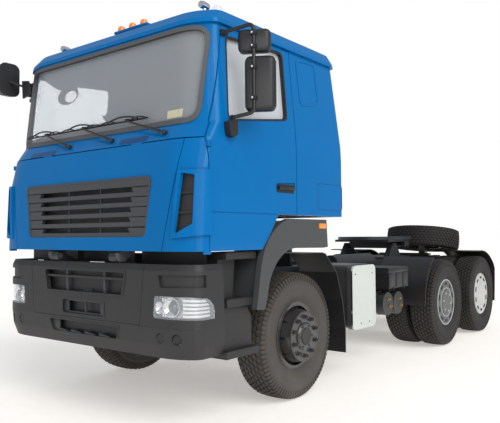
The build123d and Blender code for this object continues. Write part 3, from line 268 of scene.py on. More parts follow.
def piece(name, body, material, mesh_builder, smooth=True):
    """Build a mesh with a bmesh function, give it a material and let it ride on a body."""
    mesh = bpy.data.meshes.new(name)
    shape = bmesh.new()
    mesh_builder(shape)
    bmesh.ops.remove_doubles(shape, verts=shape.verts, dist=0.00002)
    bmesh.ops.recalc_face_normals(shape, faces=shape.faces)
    if smooth:
        for edge in shape.edges:
            edge.smooth = len(edge.link_faces) != 2 or edge.calc_face_angle() < math.radians(32)
        for side in shape.faces:
            side.smooth = True
    shape.to_mesh(mesh)
    shape.free()
    mesh.materials.append(material)
    made = added(name, mesh)
    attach(made, body)
    made_pieces.append(made)
    return made


def dress(body, material, side="", smooth=True):
    """Make the mesh builder that follows a piece with the builder's name, and its side's."""
    ending = side and "_" + side
    return lambda builder: piece(builder.__name__ + ending, body, material, builder, smooth)


def add_box(shape, low, high, bevel=0.0, turn=None):
    """Axis-aligned box, with all edges bevelled if asked, then turned by a matrix."""
    low, high = Vector(low), Vector(high)
    sizes = Matrix.Diagonal((*(high - low), 1))
    made = bmesh.ops.create_cube(shape, size=1.0, matrix=sizes)["verts"]
    if bevel:
        edges = list({edge for vert in made for edge in vert.link_edges})
        made = bmesh.ops.bevel(shape, geom=edges, offset=bevel, segments=2, profile=0.5,
                               affect="EDGES", clamp_overlap=True, material=-1)["verts"]
    matrix = Matrix.Translation((low + high) / 2) @ (turn or Matrix.Identity(4))
    bmesh.ops.transform(shape, matrix=matrix, verts=made)


def turns(count, shift=0.0):
    """Angles evenly round a full turn."""
    return [2 * math.pi * (k + shift) / count for k in range(count)]


def loft(shape, loops, caps=(True, True), closed=False):
    """Skin over matching closed loops of points, with an end face where caps says so."""
    rings = [[shape.verts.new(point) for point in loop] for loop in loops]
    for first, second in zip(rings, rings[1:] + (rings[:1] if closed else [])):
        for k in range(len(first)):
            m = (k + 1) % len(first)
            shape.faces.new((first[k], first[m], second[m], second[k]))
    for ring, wanted in ((rings[0], caps[0]), (rings[-1][::-1], caps[1])):
        if wanted:
            shape.faces.new(ring)


def add_lathe(shape, centre, axis, profile, segments=40):
    """Turn a profile of (along, radius) about an axis through centre."""
    centre, axis = Vector(centre), Vector(axis).normalized()
    across = axis.orthogonal().normalized()
    spokes = [Matrix.Rotation(turn, 3, axis) @ across for turn in turns(segments)]
    loft(shape, [[centre + axis * along + spoke * radius for spoke in spokes]
                 for along, radius in profile],
         [radius > 0.0005 for along, radius in (profile[0], profile[-1])])


def add_rod(shape, start, end, radius, segments):
    start, end = Vector(start), Vector(end)
    add_lathe(shape, start, end - start, [(0, radius), ((end - start).length, radius)], segments)


def add_tube(shape, points, radius, segments=10, closed=False):
    """Round tube through a list of points."""
    points = [Vector(p) for p in points]
    count = len(points)
    loops = []
    side = None
    for index, point in enumerate(points):
        before = points[index - 1] if index or closed else point
        after = points[(index + 1) % count] if index < count - 1 or closed else point
        along = (after - before).normalized()
        if side is None:
            side = along.orthogonal().normalized()
        side = (side - along * side.dot(along)).normalized()
        other = along.cross(side)
        loops.append([point + radius * (side * math.cos(turn) + other * math.sin(turn))
                      for turn in turns(segments)])
    loft(shape, loops, (not closed, not closed), closed)


def add_plate(shape, outline, origin, right, up, depth):
    """Prism: outline points (across, along) on a plane, pushed back along its normal."""
    origin, right, up = Vector(origin), Vector(right).normalized(), Vector(up).normalized()
    front = [origin + right * a + up * b for a, b in outline]
    loft(shape, [front, [point - right.cross(up) * depth for point in front]])


def rounded(outline, radius, steps=5):
    """Round the corners of a closed flat outline."""
    points = [Vector(p) for p in outline]
    result = []
    for k, here in enumerate(points):
        before, after = points[k - 1] - here, points[(k + 1) % len(points)] - here
        reach = radius / math.tan(before.angle(after) / 2)
        cut = min(reach, before.length * 0.48, after.length * 0.48)
        start, end = here + before.normalized() * cut, here + after.normalized() * cut
        for step in range(steps + 1):
            t = step / steps
            result.append((start * (1 - t) ** 2 + here * 2 * t * (1 - t) + end * t * t)[:])
    return result


def box_outline(x0, x1, z0, z1, radius=0.01, steps=5):
    return rounded([(x0, z0), (x1, z0), (x1, z1), (x0, z1)], radius, steps)


def both_sides(builder):
    """Run the builder that follows for the vehicle's left (+1) and right (-1)."""
    for way in (1, -1):
        builder(way, "left" if way > 0 else "right")


def hex_nut(shape, centre, axis, radius, height):
    add_lathe(shape, centre, axis, [(0, radius), (height * 0.8, radius), (height, radius * 0.8)], 6)


# %% [markdown]
# ## Paint the built shapes
# Each built node gets its own finish before anything is added to it.

# %%
finishes = {                 # a star stands for left and right
    blue: "cab_back cab_front cab_roof cab_sides cab_corners door_* front_panel",
    tyre_rubber: "front_tyre_*",
    rear_rubber: "first_tyres_* second_tyres_* spare_tyre",
    rim_black: "front_rim_* spare_rim",
    silver: "first_rims_*",
    bright_silver: "second_rims_*",
    steel_black: "front_axle knuckle_* rear_bogie bogie_springs engine_block air_tanks "
                 "fifth_wheel_mount",
    frame_paint: "frame_rails frame_crossmembers",
    silencer_steel: "silencer",
    coupling_steel: "fifth_wheel_plate",
    window: "windscreen",
    side_window: "door_glass_*",
    interior: "cab_floor dashboard",
    seat_cloth: "seats",
    grille_grey: "front_grille",
    grey_plastic: "bumper_centre bumper_corners cab_steps",
    flare_grey: "arch_flares",
    lens: "headlamps",
    black_plastic: "wipers mirrors_* front_mirror mudguards battery_box",
    tank_metal: "fuel_tank",
    orange: "roof_lamps",
    red: "tail_lamps",
}
finished = set()
for material, names in finishes.items():
    for name in names.split():
        for side in ("left", "right"):
            part = nodes[name.replace("*", side)]
            part.data.materials.clear()
            part.data.materials.append(material)
            finished.add(part.name)
print("finishes given:", len(finished))


# %% [markdown]
# ## Windscreen surround, window rubbers and pressed panels
# The cab is a stack of rounded plan sections, so trim follows the same skin.

# %%
SWEEP = math.radians(35)     # turn of the wide front bend before the tight corner
# columns: height, half width, front station, radius of the wide bend, radius of the tight corner
SECTIONS = [
    (1.310, 1.241, -1.440, 0.500, 0.070),
    (1.900, 1.241, -1.416, 0.500, 0.070),
    (2.121, 1.241, -1.366, 0.500, 0.070),
    (2.250, 1.235, -1.280, 0.500, 0.070),
    (2.998, 1.166, -1.226, 0.500, 0.070),
]


def section_at(table, height):
    """A plan section at a height, by straight blending between the table's rows."""
    for low, high in zip(table, table[1:]):
        if height <= high[0]:
            break
    share = (height - low[0]) / (high[0] - low[0])
    return [a + (b - a) * share for a, b in zip(low, high)]


def wrapped(table, x, height, out):
    """Point above x on a front with compound corners; past a corner, x runs back along the side."""
    _, half, front, wide, tight = section_at(table, height)
    sign, across = (1 if x >= 0 else -1), abs(x)
    wide_x = half - tight - (wide - tight) * math.sin(SWEEP)
    tight_y = front + wide - (wide - tight) * math.cos(SWEEP)
    if across >= half:
        return Vector((sign * (half + out), AXLE + tight_y + across - half, height))
    middle_x, middle_y, radius = wide_x, front + wide, wide
    if across <= wide_x:
        middle_x = across
    elif across > wide_x + wide * math.sin(SWEEP):
        middle_x, middle_y, radius = half - tight, tight_y, tight
    angle, reach = math.asin((across - middle_x) / radius), radius + out
    return Vector((sign * (middle_x + math.sin(angle) * reach),
                   AXLE + middle_y - math.cos(angle) * reach, height))


def front_skin(x, height, out=0.0):
    """Point on the cab's front skin above x, pushed out by a distance."""
    return wrapped(SECTIONS, x, height, out)


def side_skin(way):
    """Function giving points on one side's skin: station, height, distance pushed out."""
    def on_side(station, height, out=0.0):
        half = section_at(SECTIONS, height)[1]
        return Vector((way * (half + out), AXLE + station, height))
    return on_side


def resample(outline, count):
    """Evenly spaced points round a closed outline."""
    points = [Vector(p) for p in outline]
    sides = list(zip(points, points[1:] + points[:1]))
    lengths = [(end - start).length for start, end in sides]
    total = sum(lengths)
    result, index, gone = [], 0, 0.0
    for step in range(count):
        target = total * step / count
        while gone + lengths[index] < target:
            gone += lengths[index]
            index += 1
        start, end = sides[index]
        result.append(start.lerp(end, (target - gone) / lengths[index])[:])
    return result


def band(shape, inner, outer, thick, skin, back=-0.004, count=120):
    """Flat band between two like outlines on a skin, standing proud by a thickness."""
    inner, outer = resample(inner, count), resample(outer, count)
    loft(shape, [[skin(a, b, out) for a, b in loop] for loop, out in
                 ((inner, back), (inner, thick), (outer, thick), (outer, back))], (False, False))


def patch(shape, outline, out, back, skin):
    """Thin patch on a skin, from one depth to another."""
    loft(shape, [[skin(a, b, depth) for a, b in outline] for depth in (out, back)])


def panel(shape, corners, out, back, skin, columns, rows, way=1):
    """Patch between four corners on a skin, from one depth to another, mirrored for way -1."""
    low_left, low_right, high_right, high_left = [Vector((way * a, b)) for a, b in corners]
    loops = []
    for j in range(rows + 1):
        start, end = low_left.lerp(high_left, j / rows), low_right.lerp(high_right, j / rows)
        line = [start.lerp(end, k / columns) for k in range(columns + 1)]
        loops.append([skin(*point, out) for point in line]
                     + [skin(*point, back) for point in reversed(line)])
    loft(shape, loops)


GLASS_FACE = -0.0262         # depth of the glass under the cab's skin
SCREEN = rounded([(-1.086, 2.283), (1.086, 2.283), (1.119, 2.948), (-1.119, 2.948)], 0.09)
SCREEN_LIP = rounded([(-1.0945, 2.2745), (1.0945, 2.2745), (1.1285, 2.9565), (-1.1285, 2.9565)],
                     0.095)
SCREEN_EDGE = rounded([(-1.120, 2.242), (1.120, 2.242), (1.147, 2.982), (-1.147, 2.982)], 0.12)
WINDOW = rounded([(-1.056, 2.276), (-0.304, 2.386), (-0.296, 2.944), (-1.010, 2.906)], 0.045)
WINDOW_LIP = rounded([(-1.0595, 2.2725), (-0.3005, 2.3825), (-0.2925, 2.9475), (-1.0125, 2.9095)],
                     0.047)
WINDOW_EDGE = rounded([(-1.066, 2.265), (-0.284, 2.372), (-0.274, 2.962), (-1.020, 2.922)], 0.055)


@dress("cab", rubber_grey)
def screen_rubber(shape):
    """Seal round the windscreen, and its lip down to the glass."""
    band(shape, SCREEN, SCREEN_EDGE, 0.008, front_skin, count=160)
    band(shape, SCREEN, SCREEN_LIP, 0.006, front_skin, GLASS_FACE, 160)


@both_sides
def door_trim(way, side):
    body = f"door_{side}_body"

    @dress(body, rubber_black, side)
    def window_rubber(shape):
        band(shape, WINDOW, WINDOW_EDGE, 0.004, side_skin(way), count=110)
        band(shape, WINDOW, WINDOW_LIP, 0.003, side_skin(way), GLASS_FACE, 110)

    @dress(body, black_plastic, side)
    def door_handle(shape):
        add_box(shape, (way * 1.243, AXLE - 0.452, 1.792), (way * 1.265, AXLE - 0.226, 1.822),
                0.008)


@both_sides
def side_panels(way, side):
    on_side = side_skin(way)

    @dress("cab", blue, side)
    def quarter_bead(shape):
        """Raised bead round the rear quarter's pressed panel."""
        inner = [(-0.050, 2.545), (0.230, 2.610), (0.217, 2.955), (-0.068, 2.938)]
        outer = [(-0.064, 2.530), (0.244, 2.595), (0.229, 2.970), (-0.082, 2.953)]
        band(shape, rounded(inner, 0.05), rounded(outer, 0.06), 0.0045, on_side, count=90)

    @dress("cab", deep_blue, side)
    def hatch_seam(shape):
        band(shape, box_outline(0.1615, 0.5825, 1.647, 1.8765, 0.03),
             box_outline(0.157, 0.587, 1.643, 1.881, 0.034), 0.0008, on_side, count=70)

    @dress(f"door_{side}_body", rubber_black, side)
    def door_pocket(shape):
        """Dark pocket behind the door lever."""
        panel(shape, [(-0.462, 1.766), (-0.222, 1.766), (-0.222, 1.836), (-0.462, 1.836)],
              0.0015, -0.003, on_side, 4, 2)

    @dress("cab", rubber_black, side)
    def corner_vent(shape):
        """Dark lining of the corner vent, its edges and its two ribs."""
        panel(shape, [(1.050, 1.440), (1.178, 1.512), (1.184, 1.846), (1.094, 1.860)],
              -0.0205, -0.0215, front_skin, 8, 3, way)
        for x, z in ((1.094, 1.860), (1.178, 1.512)):
            panel(shape, [(1.050, 1.440), (x, z), (x + 0.004, z + 0.004), (1.054, 1.444)],
                  0.0008, -0.020, front_skin, 6, 1, way)
        for z in (1.585, 1.725):
            panel(shape, [(1.062, z - 0.010), (1.182, z - 0.004), (1.182, z + 0.012),
                          (1.064, z + 0.006)], -0.002, -0.020, front_skin, 8, 1, way)


# %% [markdown]
# ## Wheels
# Tread blocks, wheel nuts, the front hub cap and the slotted rear covers.

# %%
BLOCK_PITCHES, RIB_PITCHES = 60, 84
# corners of a tread block in half widths and half pitches, and a shoulder rib's (across, radius)
BLOCK = ((-1, 0.12), (-0.1, -1), (1, -0.12), (0.1, 1))
RIB = ((0.108, 0.524), (0.117, 0.5345), (0.134, 0.531), (0.1445, 0.510), (0.1475, 0.478),
       (0.143, 0.476))


def spoke(along, turn, radius):
    """Offset from a wheel's middle: along its axle, then a turn and a radius round it."""
    return Vector((along, -math.cos(turn) * radius, math.sin(turn) * radius))


def tread(x, station, height=WHEEL_Z, reach=0.5477):
    """Six rows of small diamond blocks round one tyre, and thin ribs over both shoulders."""
    centre = Vector((x, AXLE + station, height))
    half_wide, half_pitch, half_rib = 0.0215, math.pi / BLOCK_PITCHES, 0.66 * math.pi / RIB_PITCHES

    def build(shape):
        for row in range(6):
            across = (row - 2.5) * 0.0385
            crown = reach - 0.56 * across * across
            for middle in turns(BLOCK_PITCHES, 0.5 * (row % 2)):
                loft(shape, [[centre + spoke(across + a * half_wide * share,
                                             middle + b * half_pitch * share, radius)
                              for a, b in BLOCK]
                             for radius, share in ((crown - 0.017, 0.95), (crown, 0.84))],
                     (False, True))
        for way in (-1, 1):
            for middle in turns(RIB_PITCHES, 0.25 * way):
                loft(shape, [[centre + spoke(way * a, turn, radius) for a, radius in RIB]
                             for turn in (middle - half_rib, middle + half_rib)])
    return build


def add_ring(shape, centre, profile, way=1, segments=72):
    """Closed ring about X through centre, from a closed profile of (across, radius)."""
    loft(shape, [[Vector(centre) + spoke(way * along, turn, radius) for turn in turns(segments)]
                 for along, radius in profile], (False, False), closed=True)


def tyre_skin(x, station, height=WHEEL_Z):
    """Carcass of a tyre: beads, sidewalls with a raised ring, shoulders and a lower tread base."""
    half = [(0.109, 0.266), (0.112, 0.296), (0.126, 0.318), (0.142, 0.352), (0.1495, 0.400),
            (0.1475, 0.440), (0.1500, 0.446), (0.1500, 0.456), (0.1445, 0.462), (0.1400, 0.492),
            (0.1290, 0.518), (0.112, 0.526), (0.060, 0.5295), (0.0, 0.531)]
    profile = half + [(-a, r) for a, r in reversed(half[:-1])]
    return lambda shape: add_ring(shape, (x, AXLE + station, height), profile, segments=96)


def around(way, x, station, radius, count, shift=0.0):
    """Places round an axle, at one distance from the vehicle's middle."""
    centre = Vector((way * x, AXLE + station, WHEEL_Z))
    return [centre + spoke(0, turn, radius) for turn in turns(count, shift)]


@both_sides
def front_wheel(way, side):
    body, tyre_x = f"front_wheel_{side}", way * FRONT_TYRE_X
    carcass = piece(f"front_tyre_skin_{side}", body, tyre_rubber, tyre_skin(tyre_x, 0))
    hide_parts(f"front_tyre_{side}")
    piece(f"front_tread_{side}", body, tread_rubber, tread(tyre_x, 0), smooth=False)

    outward = Vector((way, 0, 0))
    disc_x = FRONT_TYRE_X + 0.200        # outer face of the bulging wheel disc
    hub_x = disc_x + 0.0175

    @dress(body, rim_black, side)
    def front_wheel_nuts(shape):
        for seat in around(way, disc_x, 0, 0.1675, 10, 0.5):
            add_lathe(shape, seat, outward, [(0.0, 0.026), (0.005, 0.025)], 18)
            hex_nut(shape, seat + outward * 0.004, outward, 0.0185, 0.026)
            add_lathe(shape, seat + outward * 0.028, outward,
                      [(0.0, 0.011), (0.012, 0.010), (0.014, 0.006)], 12)

    @dress(body, steel_black, side)
    def front_hub_cap(shape):
        for seat in around(way, hub_x, 0, 0.094, 6):
            hex_nut(shape, seat, outward, 0.008, 0.008)
        add_lathe(shape, (way * hub_x, AXLE, WHEEL_Z), outward,
                  [(0.0, 0.076), (0.008, 0.072), (0.009, 0.066), (0.005, 0.062), (0.005, 0.0)], 48)

    @dress(body, rim_black, side)
    def front_rim_lip(shape):
        add_ring(shape, (way * 1.104, AXLE, WHEEL_Z),
                 [(-0.008, 0.2815), (0.002, 0.2825), (0.0045, 0.289), (0.0, 0.2965),
                  (-0.008, 0.2965)], way)
        add_ring(shape, (way * 1.180, AXLE, WHEEL_Z),
                 [(0.004, 0.203), (0.011, 0.206), (0.009, 0.2155), (0.001, 0.2155)], way)


def rear_wheels(axle, station):
    @both_sides
    def one_side(way, side):
        body = f"{axle}_wheels_{side}"
        outer, inner = [way * x for x in TWIN_X]
        first = piece(f"{axle}_tyre_skin_outer_{side}", body, rear_rubber,
                      tyre_skin(outer, station))
        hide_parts(f"{axle}_tyres_{side}")
        piece(f"{axle}_tyre_skin_inner_{side}", body, rear_rubber, tyre_skin(inner, station))
        piece(f"{axle}_tread_outer_{side}", body, rear_tread, tread(outer, station), smooth=False)
        piece(f"{axle}_tread_inner_{side}", body, rear_tread, tread(inner, station), smooth=False)

        def studs(shape):
            for seat in around(way, 1.2215, station, 0.118, 6, 0.2):
                hex_nut(shape, seat, (way, 0, 0), 0.011, 0.006)

        def rings(shape):
            for x, profile in (
                    (1.204, [(0.0, 0.278), (0.006, 0.279), (0.006, 0.2865), (-0.002, 0.2868)]),
                    (1.2095, [(-0.004, 0.176), (0.0022, 0.177), (0.0022, 0.183), (-0.004, 0.184)])):
                add_ring(shape, (way * x, AXLE + station, WHEEL_Z), profile, way)

        def slots(shape):
            """Dark linings in the cover's ten slots."""
            for k in range(10):
                angle = math.radians(18 + 36 * k)
                across = Vector((0, -math.sin(angle), math.cos(angle)))
                outward = Vector((0, math.cos(angle), math.sin(angle)))
                centre = Vector((way * 1.2093, AXLE + station, WHEEL_Z)) + outward * 0.234
                add_plate(shape, box_outline(-0.036, 0.036, -0.0155, 0.0155, 0.012), centre,
                          across, outward, 0.004)

        piece(f"{axle}_cover_studs_{side}", body, white_panel, studs)
        piece(f"{axle}_cover_rings_{side}", body, white_panel, rings)
        piece(f"{axle}_cover_slots_{side}", body, rubber_black, slots)


rear_wheels("first", FIRST_DRIVE)
rear_wheels("second", SECOND_DRIVE)


# %% [markdown]
# ## Foot grips and wipers
# Two pressed grips under the windscreen, and three wipers with bowed blades.

# %%
@dress("cab", deep_blue)
def foot_grips(shape):
    for low, high, level in ((-0.855, -0.488, 2.150), (0.358, 0.679, 2.158)):
        patch(shape, box_outline(low, high, level - 0.022, level + 0.022, 0.02), 0.003, -0.004,
              front_skin)


# columns: x of the pivot, x of the blade's right end, x of its left end
WIPERS = [(-0.294, -1.010, -0.480), (0.261, -0.480, 0.060), (0.859, 0.060, 0.620)]


def wiper_arms(shape):
    for pivot, first, last in WIPERS:
        root = front_skin(pivot, 2.178, 0.0)
        add_lathe(shape, root, (0, -1, 0.2),
                  [(0.0, 0.020), (0.03, 0.018), (0.036, 0.012), (0.036, 0.0)], 18)
        start = root + Vector((0, -0.026, 0.004))
        end = front_skin((first + last) / 2 + 0.06, 2.325, 0.034)
        knee = start.lerp(end, 0.28) + Vector((0, -0.006, 0))
        add_tube(shape, [start, knee, end], 0.0085, 8)
        add_tube(shape, [start.lerp(end, 0.1), start.lerp(end, 0.34)], 0.013, 8)


arms = piece("wiper_arms", "cab", black_plastic, wiper_arms)
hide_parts("wipers")


@dress("cab", rubber_black)
def wiper_blades(shape):
    """For each wiper a bowed spine, two small yokes, the rubber and the arm's clip."""
    def bow(start, length, height, rise, out, swell, steps, radius):
        bends = [math.sin(math.pi * k / steps) for k in range(steps + 1)]
        add_tube(shape, [front_skin(start + length * k / steps, height + rise * bend,
                                    out + swell * bend) for k, bend in enumerate(bends)], radius, 8)

    for pivot, first, last in WIPERS:
        middle, length = (first + last) / 2 + 0.06, last - first
        bow(first + 0.10, length - 0.20, 2.338, 0.026, 0.030, 0.008, 8, 0.007)
        for low in (first + 0.01, last - 0.19):
            bow(low, 0.18, 2.331, 0.016, 0.026, 0.0, 6, 0.006)
        ends = [front_skin(first + length * k / 8, 2.329, 0.016) for k in range(9)]
        for a, b in zip(ends, ends[1:]):
            add_tube(shape, [a, b], 0.007, 6)
        add_box(shape, front_skin(middle - 0.02, 2.318, 0.042),
                front_skin(middle + 0.02, 2.342, 0.020), 0.003)


# %% [markdown]
# ## Mirrors

# %%
TURN = math.radians(30)      # both heads look back and inwards
# columns: x, station, height of the middle, width, height
HEADS = [(1.404, -0.962, 2.846, 0.240, 0.172), (1.440, -0.940, 2.530, 0.2205, 0.405)]
# a housing's sections from its domed front to its flat back: depth, growth of the outline
DOME = [(0.0292, -0.024), (0.026, -0.017), (0.018, -0.009), (0.008, -0.001), (-0.004, 0.0015),
        (-0.038, 0.0015), (-0.042, -0.003)]


def head_frame(way, x, station, z):
    """Middle, rightward and forward directions of one turned mirror head."""
    return (Vector((way * x, AXLE + station, z)), Vector((math.cos(TURN), way * math.sin(TURN), 0)),
            Vector((way * math.sin(TURN), -math.cos(TURN), 0)))


def head_outline(width, height, grow, radius, steps):
    wide, high = width / 2 + grow, height / 2 + grow
    return box_outline(-wide, wide, -high, high, radius, steps)


@both_sides
def mirror_set(way, side):
    body, tube_x = f"door_{side}_body", way * 1.420

    @dress(body, black_plastic, side)
    def mirror_housings(shape):
        for x, station, z, width, height in HEADS:
            middle, across, ahead = head_frame(way, x, station, z)
            loft(shape, [[middle + across * a + ahead * depth + Vector((0, 0, b)) for a, b in
                          head_outline(width, height, grow, 0.046 + min(grow, 0), 7)]
                         for depth, grow in DOME])
            for clamp in (z - 0.28 * height, z + 0.28 * height):
                add_box(shape, (tube_x - 0.020, AXLE - 1.012, clamp - 0.016),
                        (tube_x + 0.020, AXLE - 0.968, clamp + 0.016), 0.004)

    @dress(body, silvered, side)
    def mirror_glass(shape):
        for x, station, z, width, height in HEADS:
            middle, across, ahead = head_frame(way, x, station, z)
            add_plate(shape, head_outline(width, height, -0.010, 0.034, 5), middle - ahead * 0.0445,
                      across, (0, 0, 1), 0.003)

    @dress(body, chrome, side)
    def mirror_bolts(shape):
        for z in (2.645, 2.418, 2.895, 2.80):
            add_lathe(shape, (way * 1.421, AXLE - 1.012, z), (0, -1, 0),
                      [(0, 0.010), (0.007, 0.009), (0.010, 0.005), (0.010, 0)], 12)


# %% [markdown]
# ## Bumper, lamps and steps
# The bumper is a second stack of rounded sections, so its frames and lamps follow the same rule.

# %%
BUMPER = [                   # columns as in SECTIONS
    (0.545, 1.155, -1.390, 0.420, 0.100),
    (0.640, 1.187, -1.414, 0.430, 0.100),
    (0.765, 1.195, -1.424, 0.430, 0.100),
    (1.170, 1.195, -1.424, 0.430, 0.100),
    (1.216, 1.179, -1.404, 0.420, 0.090),
]


def bumper_skin(x, height, out=0.0):
    """Point on the bumper's skin above x; past its corner the skin runs back."""
    return wrapped(BUMPER, x, height, out)


def trapezium(low_half, low, high_half, high, radius):
    """Rounded outline about the middle line, with its own half width below and above."""
    return rounded([(-low_half, low), (low_half, low), (high_half, high), (-high_half, high)],
                   radius)


@dress("chassis", grey_plastic)
def bumper_frames(shape):
    for inner, outer, thick in (
            ((0.477, 0.978, 0.511, 1.146, 0.014), (0.492, 0.964, 0.528, 1.160, 0.022), 0.004),
            ((0.261, 0.798, 0.261, 0.908, 0.014), (0.277, 0.784, 0.277, 0.922, 0.022), 0.003),
            ((0.405, 0.640, 0.447, 0.735, 0.014), (0.414, 0.628, 0.460, 0.746, 0.018), 0.003)):
        band(shape, trapezium(*inner), trapezium(*outer), thick, bumper_skin)


@dress("chassis", grille_grey)
def bumper_bars(shape):
    for x in (-0.24, 0.24):
        add_box(shape, (x - 0.012, AXLE - 1.398, 0.975), (x + 0.012, AXLE - 1.384, 1.150))
    # bezel set back in the small window, and its middle post
    for x0, z0, x1, z1 in ((-0.261, 0.798, -0.206, 0.908), (0.206, 0.798, 0.261, 0.908),
                           (-0.210, 0.798, 0.210, 0.812), (-0.210, 0.896, 0.210, 0.908),
                           (0.010, 0.810, 0.022, 0.898)):
        add_box(shape, (x0, AXLE - 1.408, z0), (x1, AXLE - 1.392, z1), 0.002)
    # bezel and four flat fins of the lower intake
    for x0, x1 in ((-0.440, -0.337), (0.413, 0.440)):
        add_box(shape, (x0, AXLE - 1.402, 0.640), (x1, AXLE - 1.386, 0.735), 0.002)
    for x in (-0.30, -0.13, 0.05, 0.23):
        add_box(shape, (x - 0.045, AXLE - 1.408, 0.636), (x + 0.075, AXLE - 1.386, 0.654), 0.002,
                Matrix.Rotation(math.radians(7), 4, "Y"))


@dress("chassis", rubber_black)
def bumper_mesh(shape):
    """Black mesh sheets behind the openings."""
    for x, low, high in ((0.515, 0.970, 1.150), (0.290, 0.790, 0.915), (0.450, 0.632, 0.742)):
        add_box(shape, (-x, AXLE - 1.366, low), (x, AXLE - 1.362, high))


@dress("cab", rubber_black)
def cab_shroud(shape):
    """Sheet that closes the gap under the cab between its hinge brackets."""
    for low, high in ((-1.10, -0.415), (-0.325, 0.325), (0.415, 1.10)):
        add_box(shape, (low, AXLE - 1.164, 1.205), (high, AXLE - 1.158, 1.330))


@dress("chassis", rubber_black)
def slot_painted_shades(shape):
    """Dark sheet in the deep end of the long slot over each headlamp: painted shade."""
    for way in (1, -1):
        panel(shape, [(1.150, 1.060), (1.222, 1.060), (1.222, 1.138), (1.150, 1.138)],
              -0.0165, -0.0185, bumper_skin, 8, 2, way)


@dress("chassis", rubber_black)
def bumper_seams(shape):
    """Thin dark lines where the bumper's panels meet."""
    for low, high, z in ((-1.18, -0.68, 0.764), (0.68, 1.18, 0.764), (-0.66, 0.66, 0.950)):
        line = [low + (high - low) * k / 16 for k in range(17)]
        patch(shape, [(x, z - 0.003) for x in line] + [(x, z + 0.003) for x in reversed(line)],
              0.0006, -0.004, bumper_skin)


@dress("chassis", black_plastic)
def fog_lamps(shape):
    for way in (1, -1):
        for x, depth in ((0.884, 0.006), (1.033, 0.010)):
            centre = bumper_skin(way * x, 0.690, -depth)
            outward = (centre - bumper_skin(way * x, 0.690, -0.05)).normalized()
            add_lathe(shape, centre, outward, [(-0.045, 0.036), (0.004, 0.036), (0.006, 0.032),
                                               (0.002, 0.029), (0.000, 0.0)], 28)


@both_sides
def headlamp(way, side):
    """Projector in a bright ring, a bowl inboard and a ribbed reflector round the corner."""
    def facing(x, z, depth):
        centre = bumper_skin(way * x, z, -depth)
        return centre, (bumper_skin(way * x, z, 0.0) - centre).normalized()

    @dress("chassis", chrome, side)
    def lamp_reflectors(shape):
        for x, z, radius, depth in ((0.985, 0.912, 0.066, 0.050), (0.868, 0.906, 0.040, 0.046)):
            add_lathe(shape, *facing(x, z, depth),
                      [(0.0, 0.010), (0.008, radius * 0.6), (0.024, radius * 0.94), (0.032, radius),
                       (0.032, radius + 0.004), (0.0, radius + 0.004)], 32)
        for k in range(5):
            panel(shape, [(1.075, 0.842 + 0.028 * k), (1.262, 0.846 + 0.026 * k),
                          (1.262, 0.862 + 0.026 * k), (1.075, 0.860 + 0.028 * k)],
                  -0.026, -0.040, bumper_skin, 10, 1, way)
        for x in (0.898, 0.922):
            panel(shape, [(x - 0.008, 0.842), (x + 0.008, 0.842), (x + 0.004, 0.975),
                          (x - 0.012, 0.975)], -0.030, -0.042, bumper_skin, 2, 2, way)

    @dress("chassis", lens_dark, side)
    def lamp_projector(shape):
        add_lathe(shape, *facing(0.985, 0.912, 0.040),
                  [(0.0, 0.034), (0.010, 0.034), (0.018, 0.026), (0.022, 0.012), (0.023, 0.0)], 28)

    @dress("chassis", lamp_silver, side)
    def lamp_back(shape):
        panel(shape, [(0.826, 0.836), (1.282, 0.834), (1.225, 0.980), (0.838, 0.986)],
              -0.054, -0.062, bumper_skin, 24, 2, way)


@dress("chassis", grey_plastic, smooth=False)
def step_studs(shape):
    """Raised studs on each step."""
    for way in (1, -1):
        for first, last, z in ((-1.050, -0.690, 1.292), (-1.040, -0.708, 0.946),
                               (-1.046, -0.655, 0.566)):
            for row in range(5):
                for column in range(12):
                    x = way * (1.186 - 0.045 * row)
                    along = (column + 0.5 * (row % 2)) / 12
                    y = AXLE + first + 0.02 + (last - first - 0.04) * along
                    add_box(shape, (x - 0.014, y - 0.009, z - 0.002),
                            (x + 0.014, y + 0.009, z + 0.005))


@dress("chassis", orange)
def flare_markers(shape):
    for way in (1, -1):
        add_box(shape, (way * 1.250, AXLE + 0.150, 1.476), (way * 1.262, AXLE + 0.262, 1.522),
                0.004)


# %% [markdown]
# ## Roof lamps, horns and beacon

# %%
ROOF = 3.188                 # height of the roof where the lamps stand


def roof_markers(shape):
    for x in (-0.148, 0.0, 0.148):
        add_lathe(shape, (x, AXLE - 0.900, ROOF + 0.073), (0, 0, 1),
                  [(-0.002, 0.034), (0.020, 0.033), (0.036, 0.027), (0.045, 0.015), (0.048, 0.0)],
                  24)


markers = piece("roof_markers", "cab", orange, roof_markers)
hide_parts("roof_lamps")


@dress("cab", blue)
def roof_base(shape):
    add_box(shape, (-0.215, AXLE - 0.936, ROOF + 0.049), (0.215, AXLE - 0.864, ROOF + 0.073), 0.008)
    for x in (-0.17, 0.17):
        add_box(shape, (x - 0.034, AXLE - 0.926, ROOF - 0.055),
                (x + 0.034, AXLE - 0.874, ROOF + 0.059), 0.006)


@dress("cab", chrome)
def roof_horns(shape):
    for x in (-0.905, 0.905):
        add_rod(shape, (x, AXLE - 0.95, ROOF - 0.03), (x, AXLE - 0.95, ROOF + 0.03), 0.014, 14)
        add_lathe(shape, (x, AXLE - 0.90, ROOF + 0.042), (0, -1, 0),
                  [(0, 0.010), (0.01, 0.022), (0.03, 0.028), (0.08, 0.030), (0.098, 0.026),
                   (0.1, 0.0)], 24)


@dress("cab", lens)
def roof_beacon(shape):
    add_lathe(shape, (1.01, AXLE - 0.92, ROOF - 0.04), (0, 0, 1),
              [(0, 0.044), (0.040, 0.043), (0.056, 0.034), (0.064, 0.018), (0.066, 0.0)], 24)


# %% [markdown]
# ## Side equipment

